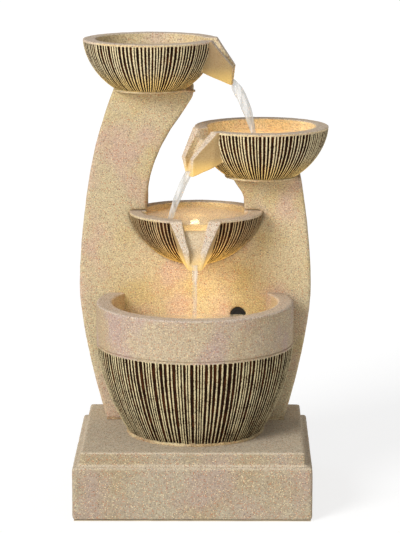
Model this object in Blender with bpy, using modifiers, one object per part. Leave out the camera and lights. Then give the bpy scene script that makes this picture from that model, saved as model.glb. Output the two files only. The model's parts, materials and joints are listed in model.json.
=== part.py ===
"""Tabletop water fountain: three cascading bowls on a forked column over a ribbed basin.

Metres, +Z up, +X to the right as seen from the front, +Y to the rear.
The origin is the centre of the underside of the base, on the surface it stands on.
"""

import math

import bmesh
import bpy
from mathutils import Matrix, Vector

# ------------------------------------------------------------------ driving dimensions
GAP = 0.0003                    # clearance between pieces that touch
BASE_WIDTH = 0.240
BASE_DEPTH = 0.220
TOTAL_HEIGHT = 0.4685

# Base: pad, plinth block and the step on it
PAD_THICKNESS = 0.0008
PAD_INSET = 0.0015
BLOCK_TOP = 0.0550
STEP_TOP = 0.0690
STEP_X = (-0.1120, 0.1125)
STEP_Y = (-0.1025, 0.1005)
STEP_DRAFT = 0.0010
PLINTH_WALL = 0.014
PLINTH_ROOF = 0.060

# Column: a hollow slab with two arms and a notch between them
COLUMN_AXIS_X = 0.0016
COLUMN_FRONT = 0.0330
COLUMN_BACK = 0.1000
COLUMN_WALL = 0.008
COLUMN_BOTTOM = STEP_TOP + GAP
NOTCH_FLOOR = 0.2650
LEFT_ARM_TOP = 0.4162
RIGHT_ARM_TOP = 0.3262
CHAMBER_FLOOR = 0.0780
CHAMBER_ROOF = 0.2285
ARM_SIDE_POINTS = [(0.0930, 0.0690), (0.1065, 0.1200), (0.1170, 0.1750), (0.1202, 0.2150),
                   (0.1172, 0.2650), (0.1130, 0.3000), (0.1090, 0.3262), (0.1020, 0.3600),
                   (0.0920, 0.3930), (0.0836, 0.4162)]
LEFT_INNER_POINTS = [(-0.0002, 0.4095), (-0.0121, 0.3913), (-0.0235, 0.3748), (-0.0328, 0.3582),
                     (-0.0401, 0.3416), (-0.0452, 0.3249), (-0.0484, 0.3060), (-0.0487, 0.2900)]
RIGHT_INNER_POINTS = [(0.0390, 0.3262), (0.0449, 0.3166), (0.0495, 0.3105), (0.0520, 0.3040),
                      (0.0525, 0.2900)]

# Bowls: rim height, centre, and the way each spout points (degrees from +X)
BOWL_RADIUS = 0.0690
BOWL_HEIGHT = 0.0520
BOWL_RIM_WIDTH = 0.0130
BOWL_INNER_DEPTH = 0.0420
BOWL_FOOT_RADIUS = 0.0378
TOP_BOWL = (-0.0440, 0.0400, TOTAL_HEIGHT)
TOP_HEADING = -6.5
RIGHT_BOWL = (0.0700, 0.0400, 0.3785)
RIGHT_HEADING = 209.0
MIDDLE_BOWL = (0.0026, 0.0340, 0.2908)
MIDDLE_HEADING = 270.0
MIDDLE_DEPTH = 0.0556
MIDDLE_POWER = 1.65

# Spout, in a frame whose +X points out of the bowl and whose zero height is the rim
SPOUT_ROOT = 0.0460
SPOUT_KNEE = 0.0660
SPOUT_LIP = 0.0866
SPOUT_TIP = 0.0845
SPOUT_KNEE_HALF_WIDTH = 0.0265
SPOUT_LIP_HALF_WIDTH = 0.0128
SPOUT_LIP_DROP = 0.0274
SPOUT_TIP_DROP = 0.0470
SPOUT_SIDE_SLANT = 0.30
SPOUT_UNDERSIDE_SLOPE = 0.482

# Basin
BASIN_AXIS = (0.0018, -0.0090)
BASIN_RADIUS = 0.1008
BASIN_RIM = 0.2045
BASIN_BAND_BOTTOM = 0.1630
BASIN_RIM_WIDTH = 0.0165
BASIN_FLOOR = 0.0830
WATER_PORT = (0.0460, 0.1810)
WATER_PORT_RADIUS = 0.0075

# Service opening in the back of the column, and its door
DOOR_HALF_WIDTH = 0.0680
DOOR_BOTTOM = 0.1850
DOOR_TOP = 0.2310
DOOR_LEDGE = 0.0040
DOOR_THICKNESS = 0.0047
FINGER_HOLE_RADIUS = 0.0080

# Pump: its shaft runs along X
PUMP_AXIS = (0.0670, 0.1000)
PUMP_HALF = 0.0165
PUMP_BACK = -0.0360
PUMP_FRONT = 0.0040
ROTOR_RADIUS = 0.0062
VANE_RADIUS = 0.0095
SHAFT_RADIUS = 0.0012
OUTLET_X = 0.0085
TUBE_RADIUS = 0.0047
TUBE_WALL = 0.0013
WIRE_RADIUS = 0.0012
CABLE_RADIUS = 0.0015

# Lamps
LAMP_RADIUS = 0.0100
LAMP_HEIGHT = 0.0055
LENS_RADIUS = 0.0080
LENS_HEIGHT = 0.0040
RIGHT_LAMP = (0.0700, 0.0490)
MIDDLE_LAMP = (0.0026, 0.0520)
BASIN_LAMP = (0.0020, 0.1460)

# Facets round the large turned pieces
BOWL_STEPS = 32
BASIN_STEPS = 44

STONE = ("stone_resin", (0.62, 0.50, 0.34), 0.85, 0.0)
RIBBED_STONE = ("ribbed_stone", (0.52, 0.42, 0.26), 0.80, 0.0)
DOOR_STONE = ("door_stone", (0.58, 0.47, 0.33), 0.85, 0.0)
BLACK_PLASTIC = ("black_plastic", (0.02, 0.02, 0.02), 0.45, 0.0)
GREY_PLASTIC = ("grey_plastic", (0.25, 0.26, 0.27), 0.45, 0.0)
CLEAR_PLASTIC = ("clear_plastic", (0.90, 0.88, 0.80), 0.15, 0.0)
BLACK_RUBBER = ("black_rubber", (0.015, 0.015, 0.015), 0.70, 0.0)
FOAM = ("foam_pad", (0.50, 0.44, 0.35), 0.95, 0.0)
MAGNET = ("ferrite_magnet", (0.10, 0.09, 0.09), 0.60, 0.0)
CERAMIC = ("ceramic_shaft", (0.85, 0.84, 0.80), 0.25, 0.0)
STEEL = ("lamination_steel", (0.45, 0.45, 0.46), 0.40, 1.0)
COPPER = ("copper_winding", (0.72, 0.35, 0.18), 0.35, 1.0)


# ------------------------------------------------------------------ scene helpers
def clear_scene():
    for obj in list(bpy.data.objects):
        bpy.data.objects.remove(obj, do_unlink=True)


def new_collection(name):
    collection = bpy.data.collections.new(name)
    bpy.context.scene.collection.children.link(collection)
    return collection


def get_material(spec):
    name, colour, roughness, metallic = spec
    found = bpy.data.materials.get(name)
    if found:
        return found
    made = bpy.data.materials.new(name)
    made.use_nodes = True
    shader = made.node_tree.nodes["Principled BSDF"]
    shader.inputs["Base Color"].default_value = (*colour, 1.0)
    shader.inputs["Roughness"].default_value = roughness
    shader.inputs["Metallic"].default_value = metallic
    return made


def add_object(name, mesh, spec=None):
    """A part when it has a material, otherwise a cutter."""
    obj = bpy.data.objects.new(name, mesh)
    if spec:
        PARTS.objects.link(obj)
        obj.data.materials.append(get_material(spec))
    else:
        CUTTERS.objects.link(obj)
        obj.hide_render = True
        obj.display_type = "WIRE"
    return obj


def smooth(obj, angle=40.0):
    obj.data.shade_smooth()
    obj.data.set_sharp_from_angle(angle=math.radians(angle))


def mesh_from_bmesh(name, bm):
    mesh = bpy.data.meshes.new(name)
    bm.to_mesh(mesh)
    bm.free()
    return mesh


def add_bevel(obj, width, segments=2):
    bevel = obj.modifiers.new("edges", "BEVEL")
    bevel.width = width
    bevel.segments = segments
    bevel.limit_method = "ANGLE"
    return obj


def add_boolean(obj, other, operation="DIFFERENCE"):
    modifier = obj.modifiers.new(other.name, "BOOLEAN")
    modifier.operation = operation
    modifier.solver = "EXACT"
    modifier.object = other
    return obj


# ------------------------------------------------------------------ shapes
def box(name, low, high, spec=None, bevel=0.0):
    """A block between two corners, with its origin at its centre."""
    low, high = Vector(low), Vector(high)
    bm = bmesh.new()
    bmesh.ops.create_cube(bm, size=1.0, matrix=Matrix.Diagonal((*(high - low), 1.0)))
    obj = add_object(name, mesh_from_bmesh(name, bm), spec)
    obj.location = (low + high) / 2
    if bevel:
        add_bevel(obj, bevel)
    return obj


def cylinder(name, radius, start, end, spec=None, sides=24, end_radius=None):
    """A round bar or cone between two points."""
    start, end = Vector(start), Vector(end)
    bm = bmesh.new()
    bmesh.ops.create_cone(bm, cap_ends=True, segments=sides, radius1=radius,
                          radius2=radius if end_radius is None else end_radius,
                          depth=(end - start).length)
    obj = add_object(name, mesh_from_bmesh(name, bm), spec)
    obj.location = (start + end) / 2
    obj.rotation_euler = (end - start).to_track_quat("Z", "Y").to_euler()
    smooth(obj)
    return obj


def turned(name, profile, location, spec=None, steps=32, rotation=(0.0, 0.0, 0.0)):
    """A profile of (radius, height) points, outer side running down, turned about Z."""
    mesh = bpy.data.meshes.new(name)
    points = [(radius, 0.0, height) for radius, height in profile]
    edges = [(i, i + 1) for i in range(len(points) - 1)]
    mesh.from_pydata(points, edges, [])
    obj = add_object(name, mesh, spec)
    obj.location = location
    obj.rotation_euler = rotation
    screw = obj.modifiers.new("turn", "SCREW")
    screw.axis = "Z"
    screw.steps = steps
    screw.render_steps = steps
    screw.use_merge_vertices = True
    screw.merge_threshold = 0.00005
    screw.use_smooth_shade = True
    return obj


def closed_ring(name, profile, location, spec, steps=20, rotation=(0.0, 0.0, 0.0)):
    """A turned piece with a bore: its profile is a closed loop clear of the axis."""
    return turned(name, [*profile, profile[0]], location, spec, steps, rotation)


def curve_to_mesh(obj, name, spec):
    """Replaces a curve object by a closed mesh object in the same place."""
    bpy.context.view_layer.update()
    evaluated = obj.evaluated_get(bpy.context.evaluated_depsgraph_get())
    mesh = bpy.data.meshes.new_from_object(evaluated)
    bm = bmesh.new()
    bm.from_mesh(mesh)
    bmesh.ops.remove_doubles(bm, verts=bm.verts, dist=0.00001)
    bm.to_mesh(mesh)
    bm.free()
    mesh.materials.clear()
    matrix = obj.matrix_world.copy()
    bpy.data.objects.remove(obj, do_unlink=True)
    made = add_object(name, mesh, spec)
    made.matrix_world = matrix
    return made


def slab(name, outline, front, back, spec=None):
    """An outline of (x, z) points, as thick as the distance from front to back along Y."""
    curve = bpy.data.curves.new(name + "_outline", "CURVE")
    curve.dimensions = "2D"
    curve.fill_mode = "BOTH"
    curve.extrude = (back - front) / 2
    spline = curve.splines.new("POLY")
    spline.points.add(len(outline) - 1)
    for point, (x, z) in zip(spline.points, outline):
        point.co = (x, z, 0.0, 1.0)
    spline.use_cyclic_u = True
    obj = bpy.data.objects.new(name + "_outline", curve)
    CUTTERS.objects.link(obj)
    obj.location = (0.0, (front + back) / 2, 0.0)
    obj.rotation_euler = (math.radians(90), 0.0, 0.0)
    return curve_to_mesh(obj, name, spec)


def loft(name, sections, location, heading, spec=None):
    """Trapezoids joined one to the next along X. Each is its upper edge, then its lower edge,
    and an edge is (x, half width, height)."""
    bm = bmesh.new()
    rings = []
    for (top_x, top_half, top), (low_x, low_half, low) in sections:
        corners = [(low_x, -low_half, low), (low_x, low_half, low),
                   (top_x, top_half, top), (top_x, -top_half, top)]
        rings.append([bm.verts.new(corner) for corner in corners])
    for near, far in zip(rings, rings[1:]):
        for i in range(4):
            j = (i + 1) % 4
            bm.faces.new((near[i], near[j], far[j], far[i]))
    bm.faces.new(rings[0])
    bm.faces.new(rings[-1])
    bmesh.ops.recalc_face_normals(bm, faces=bm.faces)
    obj = add_object(name, mesh_from_bmesh(name, bm), spec)
    obj.location = location
    obj.rotation_euler = (0.0, 0.0, math.radians(heading))
    return obj


def spline_points(points, steps):
    """A smooth curve through the points, steps to each stretch (Catmull-Rom)."""
    ends = [Vector(p) for p in (points[0], *points, points[-1])]
    sampled = []
    for a, b, c, d in zip(ends, ends[1:], ends[2:], ends[3:]):
        for i in range(steps):
            t = i / steps
            sampled.append(0.5 * (2 * b + (c - a) * t + (2 * a - 5 * b + 4 * c - d) * t ** 2
                                  + (3 * b - a - 3 * c + d) * t ** 3))
    sampled.append(ends[-1])
    return sampled


def route_curve(name, route, radius, steps, caps):
    curve = bpy.data.curves.new(name, "CURVE")
    curve.dimensions = "3D"
    curve.bevel_depth = radius
    curve.bevel_resolution = 2
    curve.use_fill_caps = caps
    points = spline_points(route, steps)
    spline = curve.splines.new("POLY")
    spline.points.add(len(points) - 1)
    for slot, point in zip(spline.points, points):
        slot.co = (*point, 1.0)
    return curve


def wire(name, route, radius, spec, steps=2):
    """A solid round lead that follows a smooth route."""
    curve = route_curve(name, route, radius, steps, True)
    return add_object(name, curve, spec)


def hose(name, route, radius, wall, spec, steps=2):
    """A hollow tube that follows a smooth route."""
    obj = bpy.data.objects.new(name, route_curve(name, route, radius, steps, False))
    CUTTERS.objects.link(obj)
    tube = curve_to_mesh(obj, name, spec)
    solidify = tube.modifiers.new("wall", "SOLIDIFY")
    solidify.thickness = wall
    solidify.offset = -1.0
    smooth(tube)
    return tube


# ------------------------------------------------------------------ bowls
def rounded_side(radius, depth, power, stop, count):
    """Points down the side of a bowl, closer together where it curves in."""
    points = []
    for i in range(count + 1):
        drop = stop * math.sin(math.pi / 2 * i / count)
        points.append((radius * math.sqrt(1 - (drop / depth) ** power), -drop))
    return points


def foot_bowl_profile(grow=0.0):
    side = rounded_side(BOWL_RADIUS + grow, 0.0619, 1.75, BOWL_HEIGHT - 0.002, 7)
    foot = [(BOWL_FOOT_RADIUS, -BOWL_HEIGHT), (0.0, -BOWL_HEIGHT)]
    return [(0.0, 0.0), *side, *foot]


def round_bowl_profile(grow=0.0, lift=0.0):
    side = rounded_side(BOWL_RADIUS + grow, MIDDLE_DEPTH + grow, MIDDLE_POWER,
                        (MIDDLE_DEPTH + grow) * 0.999, 9)
    return [(0.0, lift), (BOWL_RADIUS + grow, lift), *side, (0.0, -MIDDLE_DEPTH - grow)]


def interior_profile():
    above = 0.010
    rim_radius = BOWL_RADIUS - BOWL_RIM_WIDTH
    side = rounded_side(rim_radius, 0.0505, 2.0, BOWL_INNER_DEPTH, 5)
    return [(0.0, above), (rim_radius, above), *side, (0.0, -BOWL_INNER_DEPTH)]


def spout_sections():
    """Root, knee and end of the spout's outer block. Its sides lean in towards the bottom."""
    def lower_edge(x):
        height = -SPOUT_TIP_DROP + (SPOUT_TIP - x) * SPOUT_UNDERSIDE_SLOPE
        return (x, SPOUT_KNEE_HALF_WIDTH + height * SPOUT_SIDE_SLANT, height)

    tip_half = SPOUT_LIP_HALF_WIDTH - (SPOUT_TIP_DROP - SPOUT_LIP_DROP) * SPOUT_SIDE_SLANT
    return [((SPOUT_ROOT, SPOUT_KNEE_HALF_WIDTH, 0.0), lower_edge(SPOUT_ROOT)),
            ((SPOUT_KNEE, SPOUT_KNEE_HALF_WIDTH, 0.0), lower_edge(SPOUT_KNEE)),
            ((SPOUT_LIP, SPOUT_LIP_HALF_WIDTH, -SPOUT_LIP_DROP),
             (SPOUT_TIP, tip_half, -SPOUT_TIP_DROP))]


def channel_sections():
    """The trough that the water runs down, from inside the bowl to past the tip."""
    above = 0.010
    sill = (0.0106, -0.0115)
    return [((0.0480, 0.0155, above), (0.0480, *sill)),
            ((SPOUT_KNEE, 0.0155, above), (SPOUT_KNEE, *sill)),
            ((0.0765, 0.0127, above), (0.0765, 0.0080, -0.0285)),
            ((0.0845, 0.0090, above), (0.0845, 0.0048, -0.0425)),
            ((0.0890, 0.0075, above), (0.0890, 0.0036, -0.0500))]


def make_bowl(name, centre, heading, profile, interior):
    bowl = turned(name, profile, centre, RIBBED_STONE, steps=BOWL_STEPS,
                  rotation=(0.0, 0.0, math.radians(heading)))
    spout = loft(name + "_spout_block", spout_sections(), centre, heading)
    channel = loft(name + "_channel", channel_sections(), centre, heading)
    add_boolean(bowl, spout, "UNION")
    add_boolean(bowl, interior)
    add_boolean(bowl, channel)
    return bowl


def make_bowls():
    top_inside = turned("top_bowl_inside", interior_profile(), TOP_BOWL, steps=BOWL_STEPS)
    top = make_bowl("top_bowl", TOP_BOWL, TOP_HEADING, foot_bowl_profile(), top_inside)
    x, y = riser_top_xy()
    floor = TOTAL_HEIGHT - BOWL_HEIGHT
    add_boolean(top, cylinder("inlet_hole", 0.0053, (x, y, floor - 0.005),
                              (x, y, floor + 0.015)))

    right_inside = turned("right_bowl_inside", interior_profile(), RIGHT_BOWL, steps=BOWL_STEPS)
    right = make_bowl("right_bowl", RIGHT_BOWL, RIGHT_HEADING, foot_bowl_profile(), right_inside)
    foot = RIGHT_BOWL[2] - BOWL_HEIGHT
    add_boolean(right, wire_hole("right_lamp_hole", RIGHT_LAMP, foot - 0.005, foot + 0.015))

    middle_inside = turned("middle_bowl_inside", interior_profile(), MIDDLE_BOWL, steps=BOWL_STEPS)
    for side, low, high in (("left", -0.080, LEFT_INNER_POINTS[-1][0]),
                            ("right", RIGHT_INNER_POINTS[-1][0], 0.085)):
        cheek = box(f"middle_{side}_cheek", (low, COLUMN_FRONT, 0.230), (high, 0.105, 0.310))
        add_boolean(middle_inside, cheek)
    middle = make_bowl("middle_bowl", MIDDLE_BOWL, MIDDLE_HEADING, round_bowl_profile(),
                       middle_inside)
    bottom = MIDDLE_BOWL[2] - MIDDLE_DEPTH
    add_boolean(middle, wire_hole("middle_lamp_hole", MIDDLE_LAMP, bottom - 0.003,
                                  bottom + 0.018))


def wire_hole(name, place, low, high):
    return cylinder(name, 0.0030, (*place, low), (*place, high), sides=16)


def make_basin():
    x, y = BASIN_AXIS
    depth = BASIN_BAND_BOTTOM - COLUMN_BOTTOM
    band = BASIN_BAND_BOTTOM - BASIN_RIM
    belly = [(radius, band + height) for radius, height in
             rounded_side(BASIN_RADIUS, 0.1387, 1.55, depth, 7)]
    outside = [(0.0, 0.0), (BASIN_RADIUS, 0.0), *belly, (0.0, band - depth)]
    basin = turned("basin", outside, (x, y, BASIN_RIM), RIBBED_STONE, steps=BASIN_STEPS)

    inner_radius = BASIN_RADIUS - BASIN_RIM_WIDTH
    inner_depth = BASIN_RIM - BASIN_FLOOR - 0.030
    inner_wall = [(radius, height - 0.030) for radius, height in
                  rounded_side(inner_radius, 0.118, 1.8, inner_depth, 6)]
    inside = [(0.0, 0.010), (inner_radius, 0.010), *inner_wall,
              (0.0, -0.030 - inner_depth)]
    add_boolean(basin, turned("basin_inside", inside, (x, y, BASIN_RIM), steps=BASIN_STEPS))
    behind = box("basin_back_cut", (-0.150, COLUMN_FRONT - GAP, 0.050), (0.150, 0.150, 0.230))
    add_boolean(basin, behind)


# ------------------------------------------------------------------ base and column
def make_base():
    half_w, half_d = BASE_WIDTH / 2, BASE_DEPTH / 2
    box("base_pad", (PAD_INSET - half_w, PAD_INSET - half_d, 0.0),
        (half_w - PAD_INSET, half_d - PAD_INSET, PAD_THICKNESS), FOAM)
    bottom = PAD_THICKNESS + GAP
    plinth = box("base_plinth", (-half_w, -half_d, bottom), (half_w, half_d, BLOCK_TOP), STONE,
                 bevel=0.0025)
    low, high = (STEP_X[0], STEP_Y[0]), (STEP_X[1], STEP_Y[1])
    middle = ((low[0] + high[0]) / 2, (low[1] + high[1]) / 2)
    bm = bmesh.new()
    bmesh.ops.create_cube(bm, size=1.0)
    for vert in bm.verts:
        spread = STEP_DRAFT if vert.co.z < 0 else 0.0
        vert.co.x *= high[0] - low[0] + 2 * spread
        vert.co.y *= high[1] - low[1] + 2 * spread
        vert.co.z *= STEP_TOP - BLOCK_TOP + 0.004
    step = add_object("plinth_step_block", mesh_from_bmesh("plinth_step_block", bm))
    step.location = (*middle, (STEP_TOP + BLOCK_TOP - 0.004) / 2)
    add_bevel(step, 0.0015)
    add_boolean(plinth, step, "UNION")
    hollow = box("plinth_hollow", (PLINTH_WALL - half_w, PLINTH_WALL - half_d, -0.010),
                 (half_w - PLINTH_WALL, half_d - PLINTH_WALL, PLINTH_ROOF))
    add_boolean(plinth, hollow)


def column_side():
    """Half width and height up the outer edge of the column and of an arm."""
    return [(p.x, p.y) for p in spline_points([Vector(p) for p in ARM_SIDE_POINTS], 3)]


def side_at(height):
    """Half width of the column at a height."""
    points = column_side()
    for (x0, z0), (x1, z1) in zip(points, points[1:]):
        if z0 <= height <= z1:
            return x0 + (x1 - x0) * (height - z0) / (z1 - z0)
    raise ValueError("height outside the column")


def side_between(low, high, inset):
    """The outer edge between two heights, moved in by inset."""
    inner = [(x, z) for x, z in column_side() if low < z < high]
    return [(x - inset, z) for x, z in ((side_at(low), low), *inner, (side_at(high), high))]


def column_outline():
    left = [(COLUMN_AXIS_X - x, z) for x, z in side_between(COLUMN_BOTTOM, 0.4161, 0.0)]
    right = [(COLUMN_AXIS_X + x, z) for x, z in side_between(COLUMN_BOTTOM, 0.3261, 0.0)]
    left_inner = LEFT_INNER_POINTS
    right_inner = RIGHT_INNER_POINTS
    outline = [*left, (left_inner[0][0], LEFT_ARM_TOP), *left_inner,
               (left_inner[-1][0], NOTCH_FLOOR), (right_inner[-1][0], NOTCH_FLOOR),
               *reversed(right_inner), *reversed(right)]
    return outline


def arm_cavity(sign, top, inner):
    """A hollow up inside an arm, from the pump chamber to just under the arm's top."""
    wall = COLUMN_WALL + 0.001
    outer = [(COLUMN_AXIS_X + sign * x, z)
             for x, z in side_between(CHAMBER_ROOF - 0.009, top, wall)]
    name = "left_arm_hollow" if sign < 0 else "right_arm_hollow"
    return slab(name, [*outer, *inner], COLUMN_FRONT + 0.0100, COLUMN_BACK - 0.0090)


def make_column():
    column = slab("column", column_outline(), COLUMN_FRONT, COLUMN_BACK, STONE)
    column.data.set_sharp_from_angle(angle=math.radians(40))
    socket = turned("middle_bowl_socket", round_bowl_profile(GAP, GAP), MIDDLE_BOWL, steps=BOWL_STEPS,
                    rotation=(0.0, 0.0, math.radians(MIDDLE_HEADING)))
    add_boolean(column, socket)

    lower = side_between(CHAMBER_FLOOR, CHAMBER_ROOF, COLUMN_WALL)
    outline = [*[(COLUMN_AXIS_X - x, z) for x, z in lower],
               *[(COLUMN_AXIS_X + x, z) for x, z in reversed(lower)]]
    add_boolean(column, slab("pump_chamber", outline, COLUMN_FRONT + COLUMN_WALL,
                             COLUMN_BACK - 0.0080))
    left_inner = [(-0.0190, 0.4020), (-0.0330, 0.3780), (-0.0490, 0.3450), (-0.0575, 0.3150),
                  (-0.0580, 0.3010), (-0.0750, 0.2960), (-0.0750, CHAMBER_ROOF - 0.009)]
    add_boolean(column, arm_cavity(-1.0, 0.4020, left_inner))
    right_inner = [(0.0600, 0.3140), (0.0630, 0.3010), (0.0790, 0.2960),
                   (0.0790, CHAMBER_ROOF - 0.009)]
    add_boolean(column, arm_cavity(1.0, 0.3140, right_inner))

    half = DOOR_HALF_WIDTH
    rebate_front = COLUMN_BACK - DOOR_THICKNESS - GAP
    add_boolean(column, box("door_rebate", (-half - GAP, rebate_front, DOOR_BOTTOM - GAP),
                            (half + GAP, COLUMN_BACK + 0.010, DOOR_TOP + GAP)))
    add_boolean(column, box("door_opening",
                            (DOOR_LEDGE - half, 0.0850, DOOR_BOTTOM + DOOR_LEDGE),
                            (half - DOOR_LEDGE, COLUMN_BACK + 0.010, DOOR_TOP - DOOR_LEDGE)))

    x, z = WATER_PORT
    add_boolean(column, cylinder("port_hole", WATER_PORT_RADIUS + GAP,
                                 (x, COLUMN_FRONT - 0.005, z), (x, COLUMN_FRONT + 0.015, z)))
    x, z = BASIN_LAMP
    add_boolean(column, cylinder("basin_lamp_hole", 0.0030, (x, COLUMN_FRONT - 0.005, z),
                                 (x, COLUMN_FRONT + 0.015, z), sides=16))
    add_boolean(column, wire_hole("saddle_wire_hole", MIDDLE_LAMP, CHAMBER_ROOF - 0.006,
                                  CHAMBER_ROOF + 0.014))
    add_boolean(column, wire_hole("arm_wire_hole", RIGHT_LAMP, 0.3080, 0.3320))
    x, y = riser_top_xy()
    add_boolean(column, cylinder("riser_hole", 0.0075, (x, y, 0.3960), (x, y, 0.4220)))
    x, z = gland_xz()
    add_boolean(column, cylinder("gland_hole", 0.0050, (x, 0.0880, z), (x, 0.1050, z)))


def make_door():
    half = DOOR_HALF_WIDTH
    door = box("rear_access_door", (-half, COLUMN_BACK - DOOR_THICKNESS, DOOR_BOTTOM),
               (half, COLUMN_BACK, DOOR_TOP), DOOR_STONE, bevel=0.0008)
    z = DOOR_TOP - 0.014
    add_boolean(door, cylinder("finger_hole", FINGER_HOLE_RADIUS, (0.0, 0.0880, z),
                               (0.0, 0.1050, z)))


# ------------------------------------------------------------------ water and power fittings
def riser_top_xy():
    return (TOP_BOWL[0], TOP_BOWL[1] + 0.012)


def gland_xz():
    return (0.0800, 0.2080)


def make_fittings():
    x, z = WATER_PORT
    facing_front = (math.radians(90), 0.0, 0.0)
    ring = [(0.0052, 0.0005), (WATER_PORT_RADIUS, 0.0005), (WATER_PORT_RADIUS, -0.0095),
            (0.0052, -0.0095)]
    closed_ring("return_port_ring", ring, (x, COLUMN_FRONT, z), BLACK_RUBBER,
                rotation=facing_front)

    x, z = gland_xz()
    facing_rear = (math.radians(-90), 0.0, 0.0)
    gland = [(0.0026, 0.0045), (0.0060, 0.0045), (0.0085, 0.0030), (0.0085, GAP),
             (0.0047, GAP), (0.0047, -0.0095), (0.0026, -0.0095)]
    closed_ring("cable_gland", gland, (x, COLUMN_BACK, z), BLACK_RUBBER, rotation=facing_rear)

    x, y = riser_top_xy()
    floor = TOTAL_HEIGHT - BOWL_INNER_DEPTH + GAP
    spigot_end = floor - 0.0180
    nozzle = [(0.0020, floor + 0.0190), (0.0034, floor + 0.0190), (0.0048, floor + 0.0030),
              (0.0090, floor + 0.0020), (0.0090, floor), (0.0050, floor),
              (0.0050, floor - 0.0095), (0.0030, floor - 0.0105), (0.0030, spigot_end),
              (0.0020, spigot_end)]
    closed_ring("inlet_nozzle", nozzle, (x, y, 0.0), GREY_PLASTIC)

    y_pump, _ = PUMP_AXIS
    route = [(OUTLET_X, y_pump, 0.1265), (OUTLET_X, y_pump, 0.1350), (OUTLET_X, y_pump, 0.1440),
             (-0.0060, 0.0690, 0.1640), (-0.0330, 0.0710, 0.1830), (-0.0700, 0.0710, 0.2050),
             (-0.0905, 0.0690, 0.2370), (-0.0920, 0.0670, 0.2720), (-0.0850, 0.0650, 0.3120),
             (-0.0710, 0.0620, 0.3520), (-0.0540, 0.0560, 0.3840), (x, y, 0.3990),
             (x, y, 0.4070), (x, y, 0.4145)]
    hose("riser_tube", route, TUBE_RADIUS, TUBE_WALL, CLEAR_PLASTIC)


def make_lamp(tag, base_bottom, direction):
    """A sealed lamp: a round base and the clear lens on it."""
    bottom = Vector(base_bottom)
    along = Vector(direction)
    top = bottom + along * LAMP_HEIGHT
    cylinder(f"{tag}_lamp_base", LAMP_RADIUS, bottom, top, BLACK_PLASTIC)
    turn = along.to_track_quat("Z", "Y").to_euler()
    dome = [(LENS_RADIUS * math.sin(math.radians(a)), LENS_HEIGHT * math.cos(math.radians(a)))
            for a in range(0, 91, 18)]
    turned(f"{tag}_lamp_lens", [*dome, (0.0, 0.0)], top + along * GAP, CLEAR_PLASTIC,
           steps=24, rotation=turn)


def make_lamps():
    up = (0.0, 0.0, 1.0)
    for tag, bowl, place in (("right", RIGHT_BOWL, RIGHT_LAMP),
                             ("middle", MIDDLE_BOWL, MIDDLE_LAMP)):
        make_lamp(tag, (*place, bowl[2] - BOWL_INNER_DEPTH + GAP), up)
    x, z = BASIN_LAMP
    make_lamp("basin", (x, COLUMN_FRONT - GAP, z), (0.0, -1.0, 0.0))


def make_wiring():
    """Leads from the lamps, the pump and the cable gland to a potted junction box."""
    box("junction_box", (0.0340, 0.0425, 0.2090), (0.0620, 0.0515, 0.2200), BLACK_PLASTIC,
        bevel=0.0006)
    x, y = RIGHT_LAMP
    wire("right_lamp_wire", [(x, y, 0.3362), (x, y, 0.3250), (x, y, 0.3120),
                             (0.0860, 0.0560, 0.2950), (0.0940, 0.0600, 0.2600),
                             (0.0870, 0.0540, 0.2300), (0.0760, 0.0475, 0.2170),
                             (0.0690, 0.0470, 0.2165), (0.0626, 0.0470, 0.2165)],
         WIRE_RADIUS, BLACK_RUBBER)
    x, y = MIDDLE_LAMP
    wire("middle_lamp_wire", [(x, y, 0.2481), (x, y, 0.2330), (x, y, 0.2240),
                              (0.0100, 0.0490, 0.2170), (0.0250, 0.0470, 0.2160),
                              (0.0334, 0.0470, 0.2160)], WIRE_RADIUS, BLACK_RUBBER)
    x, z = BASIN_LAMP
    wire("basin_lamp_wire", [(x, COLUMN_FRONT + 2 * GAP, z), (x, 0.0400, z), (x, 0.0450, z),
                             (0.0050, 0.0480, 0.1520), (0.0120, 0.0475, 0.1750),
                             (0.0200, 0.0470, 0.2050), (0.0270, 0.0470, 0.2115),
                             (0.0334, 0.0470, 0.2115)], WIRE_RADIUS, BLACK_RUBBER)
    wire("pump_cable", [(-0.0160, 0.0590, 0.1171), (-0.0160, 0.0590, 0.1220),
                        (-0.0120, 0.0530, 0.1300), (0.0080, 0.0490, 0.1480),
                        (0.0320, 0.0480, 0.1750), (0.0425, 0.0475, 0.1930),
                        (0.0430, 0.0470, 0.2010), (0.0430, 0.0470, 0.2084)],
         CABLE_RADIUS, BLACK_RUBBER)
    x, z = gland_xz()
    wire("inlet_lead", [(0.0626, 0.0470, 0.2118), (0.0680, 0.0470, 0.2118),
                        (0.0750, 0.0530, 0.2105), (x, 0.0660, z), (x, 0.0800, z),
                        (x, 0.0980, z)], CABLE_RADIUS, BLACK_RUBBER)


# ------------------------------------------------------------------ pump
def along_x(name, radius, start, end, spec=None, sides=24, offset=(0.0, 0.0)):
    """A bar parallel to the pump's shaft, offset from it in Y and Z."""
    y, z = PUMP_AXIS[0] + offset[0], PUMP_AXIS[1] + offset[1]
    return cylinder(name, radius, (start, y, z), (end, y, z), spec, sides)


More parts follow.
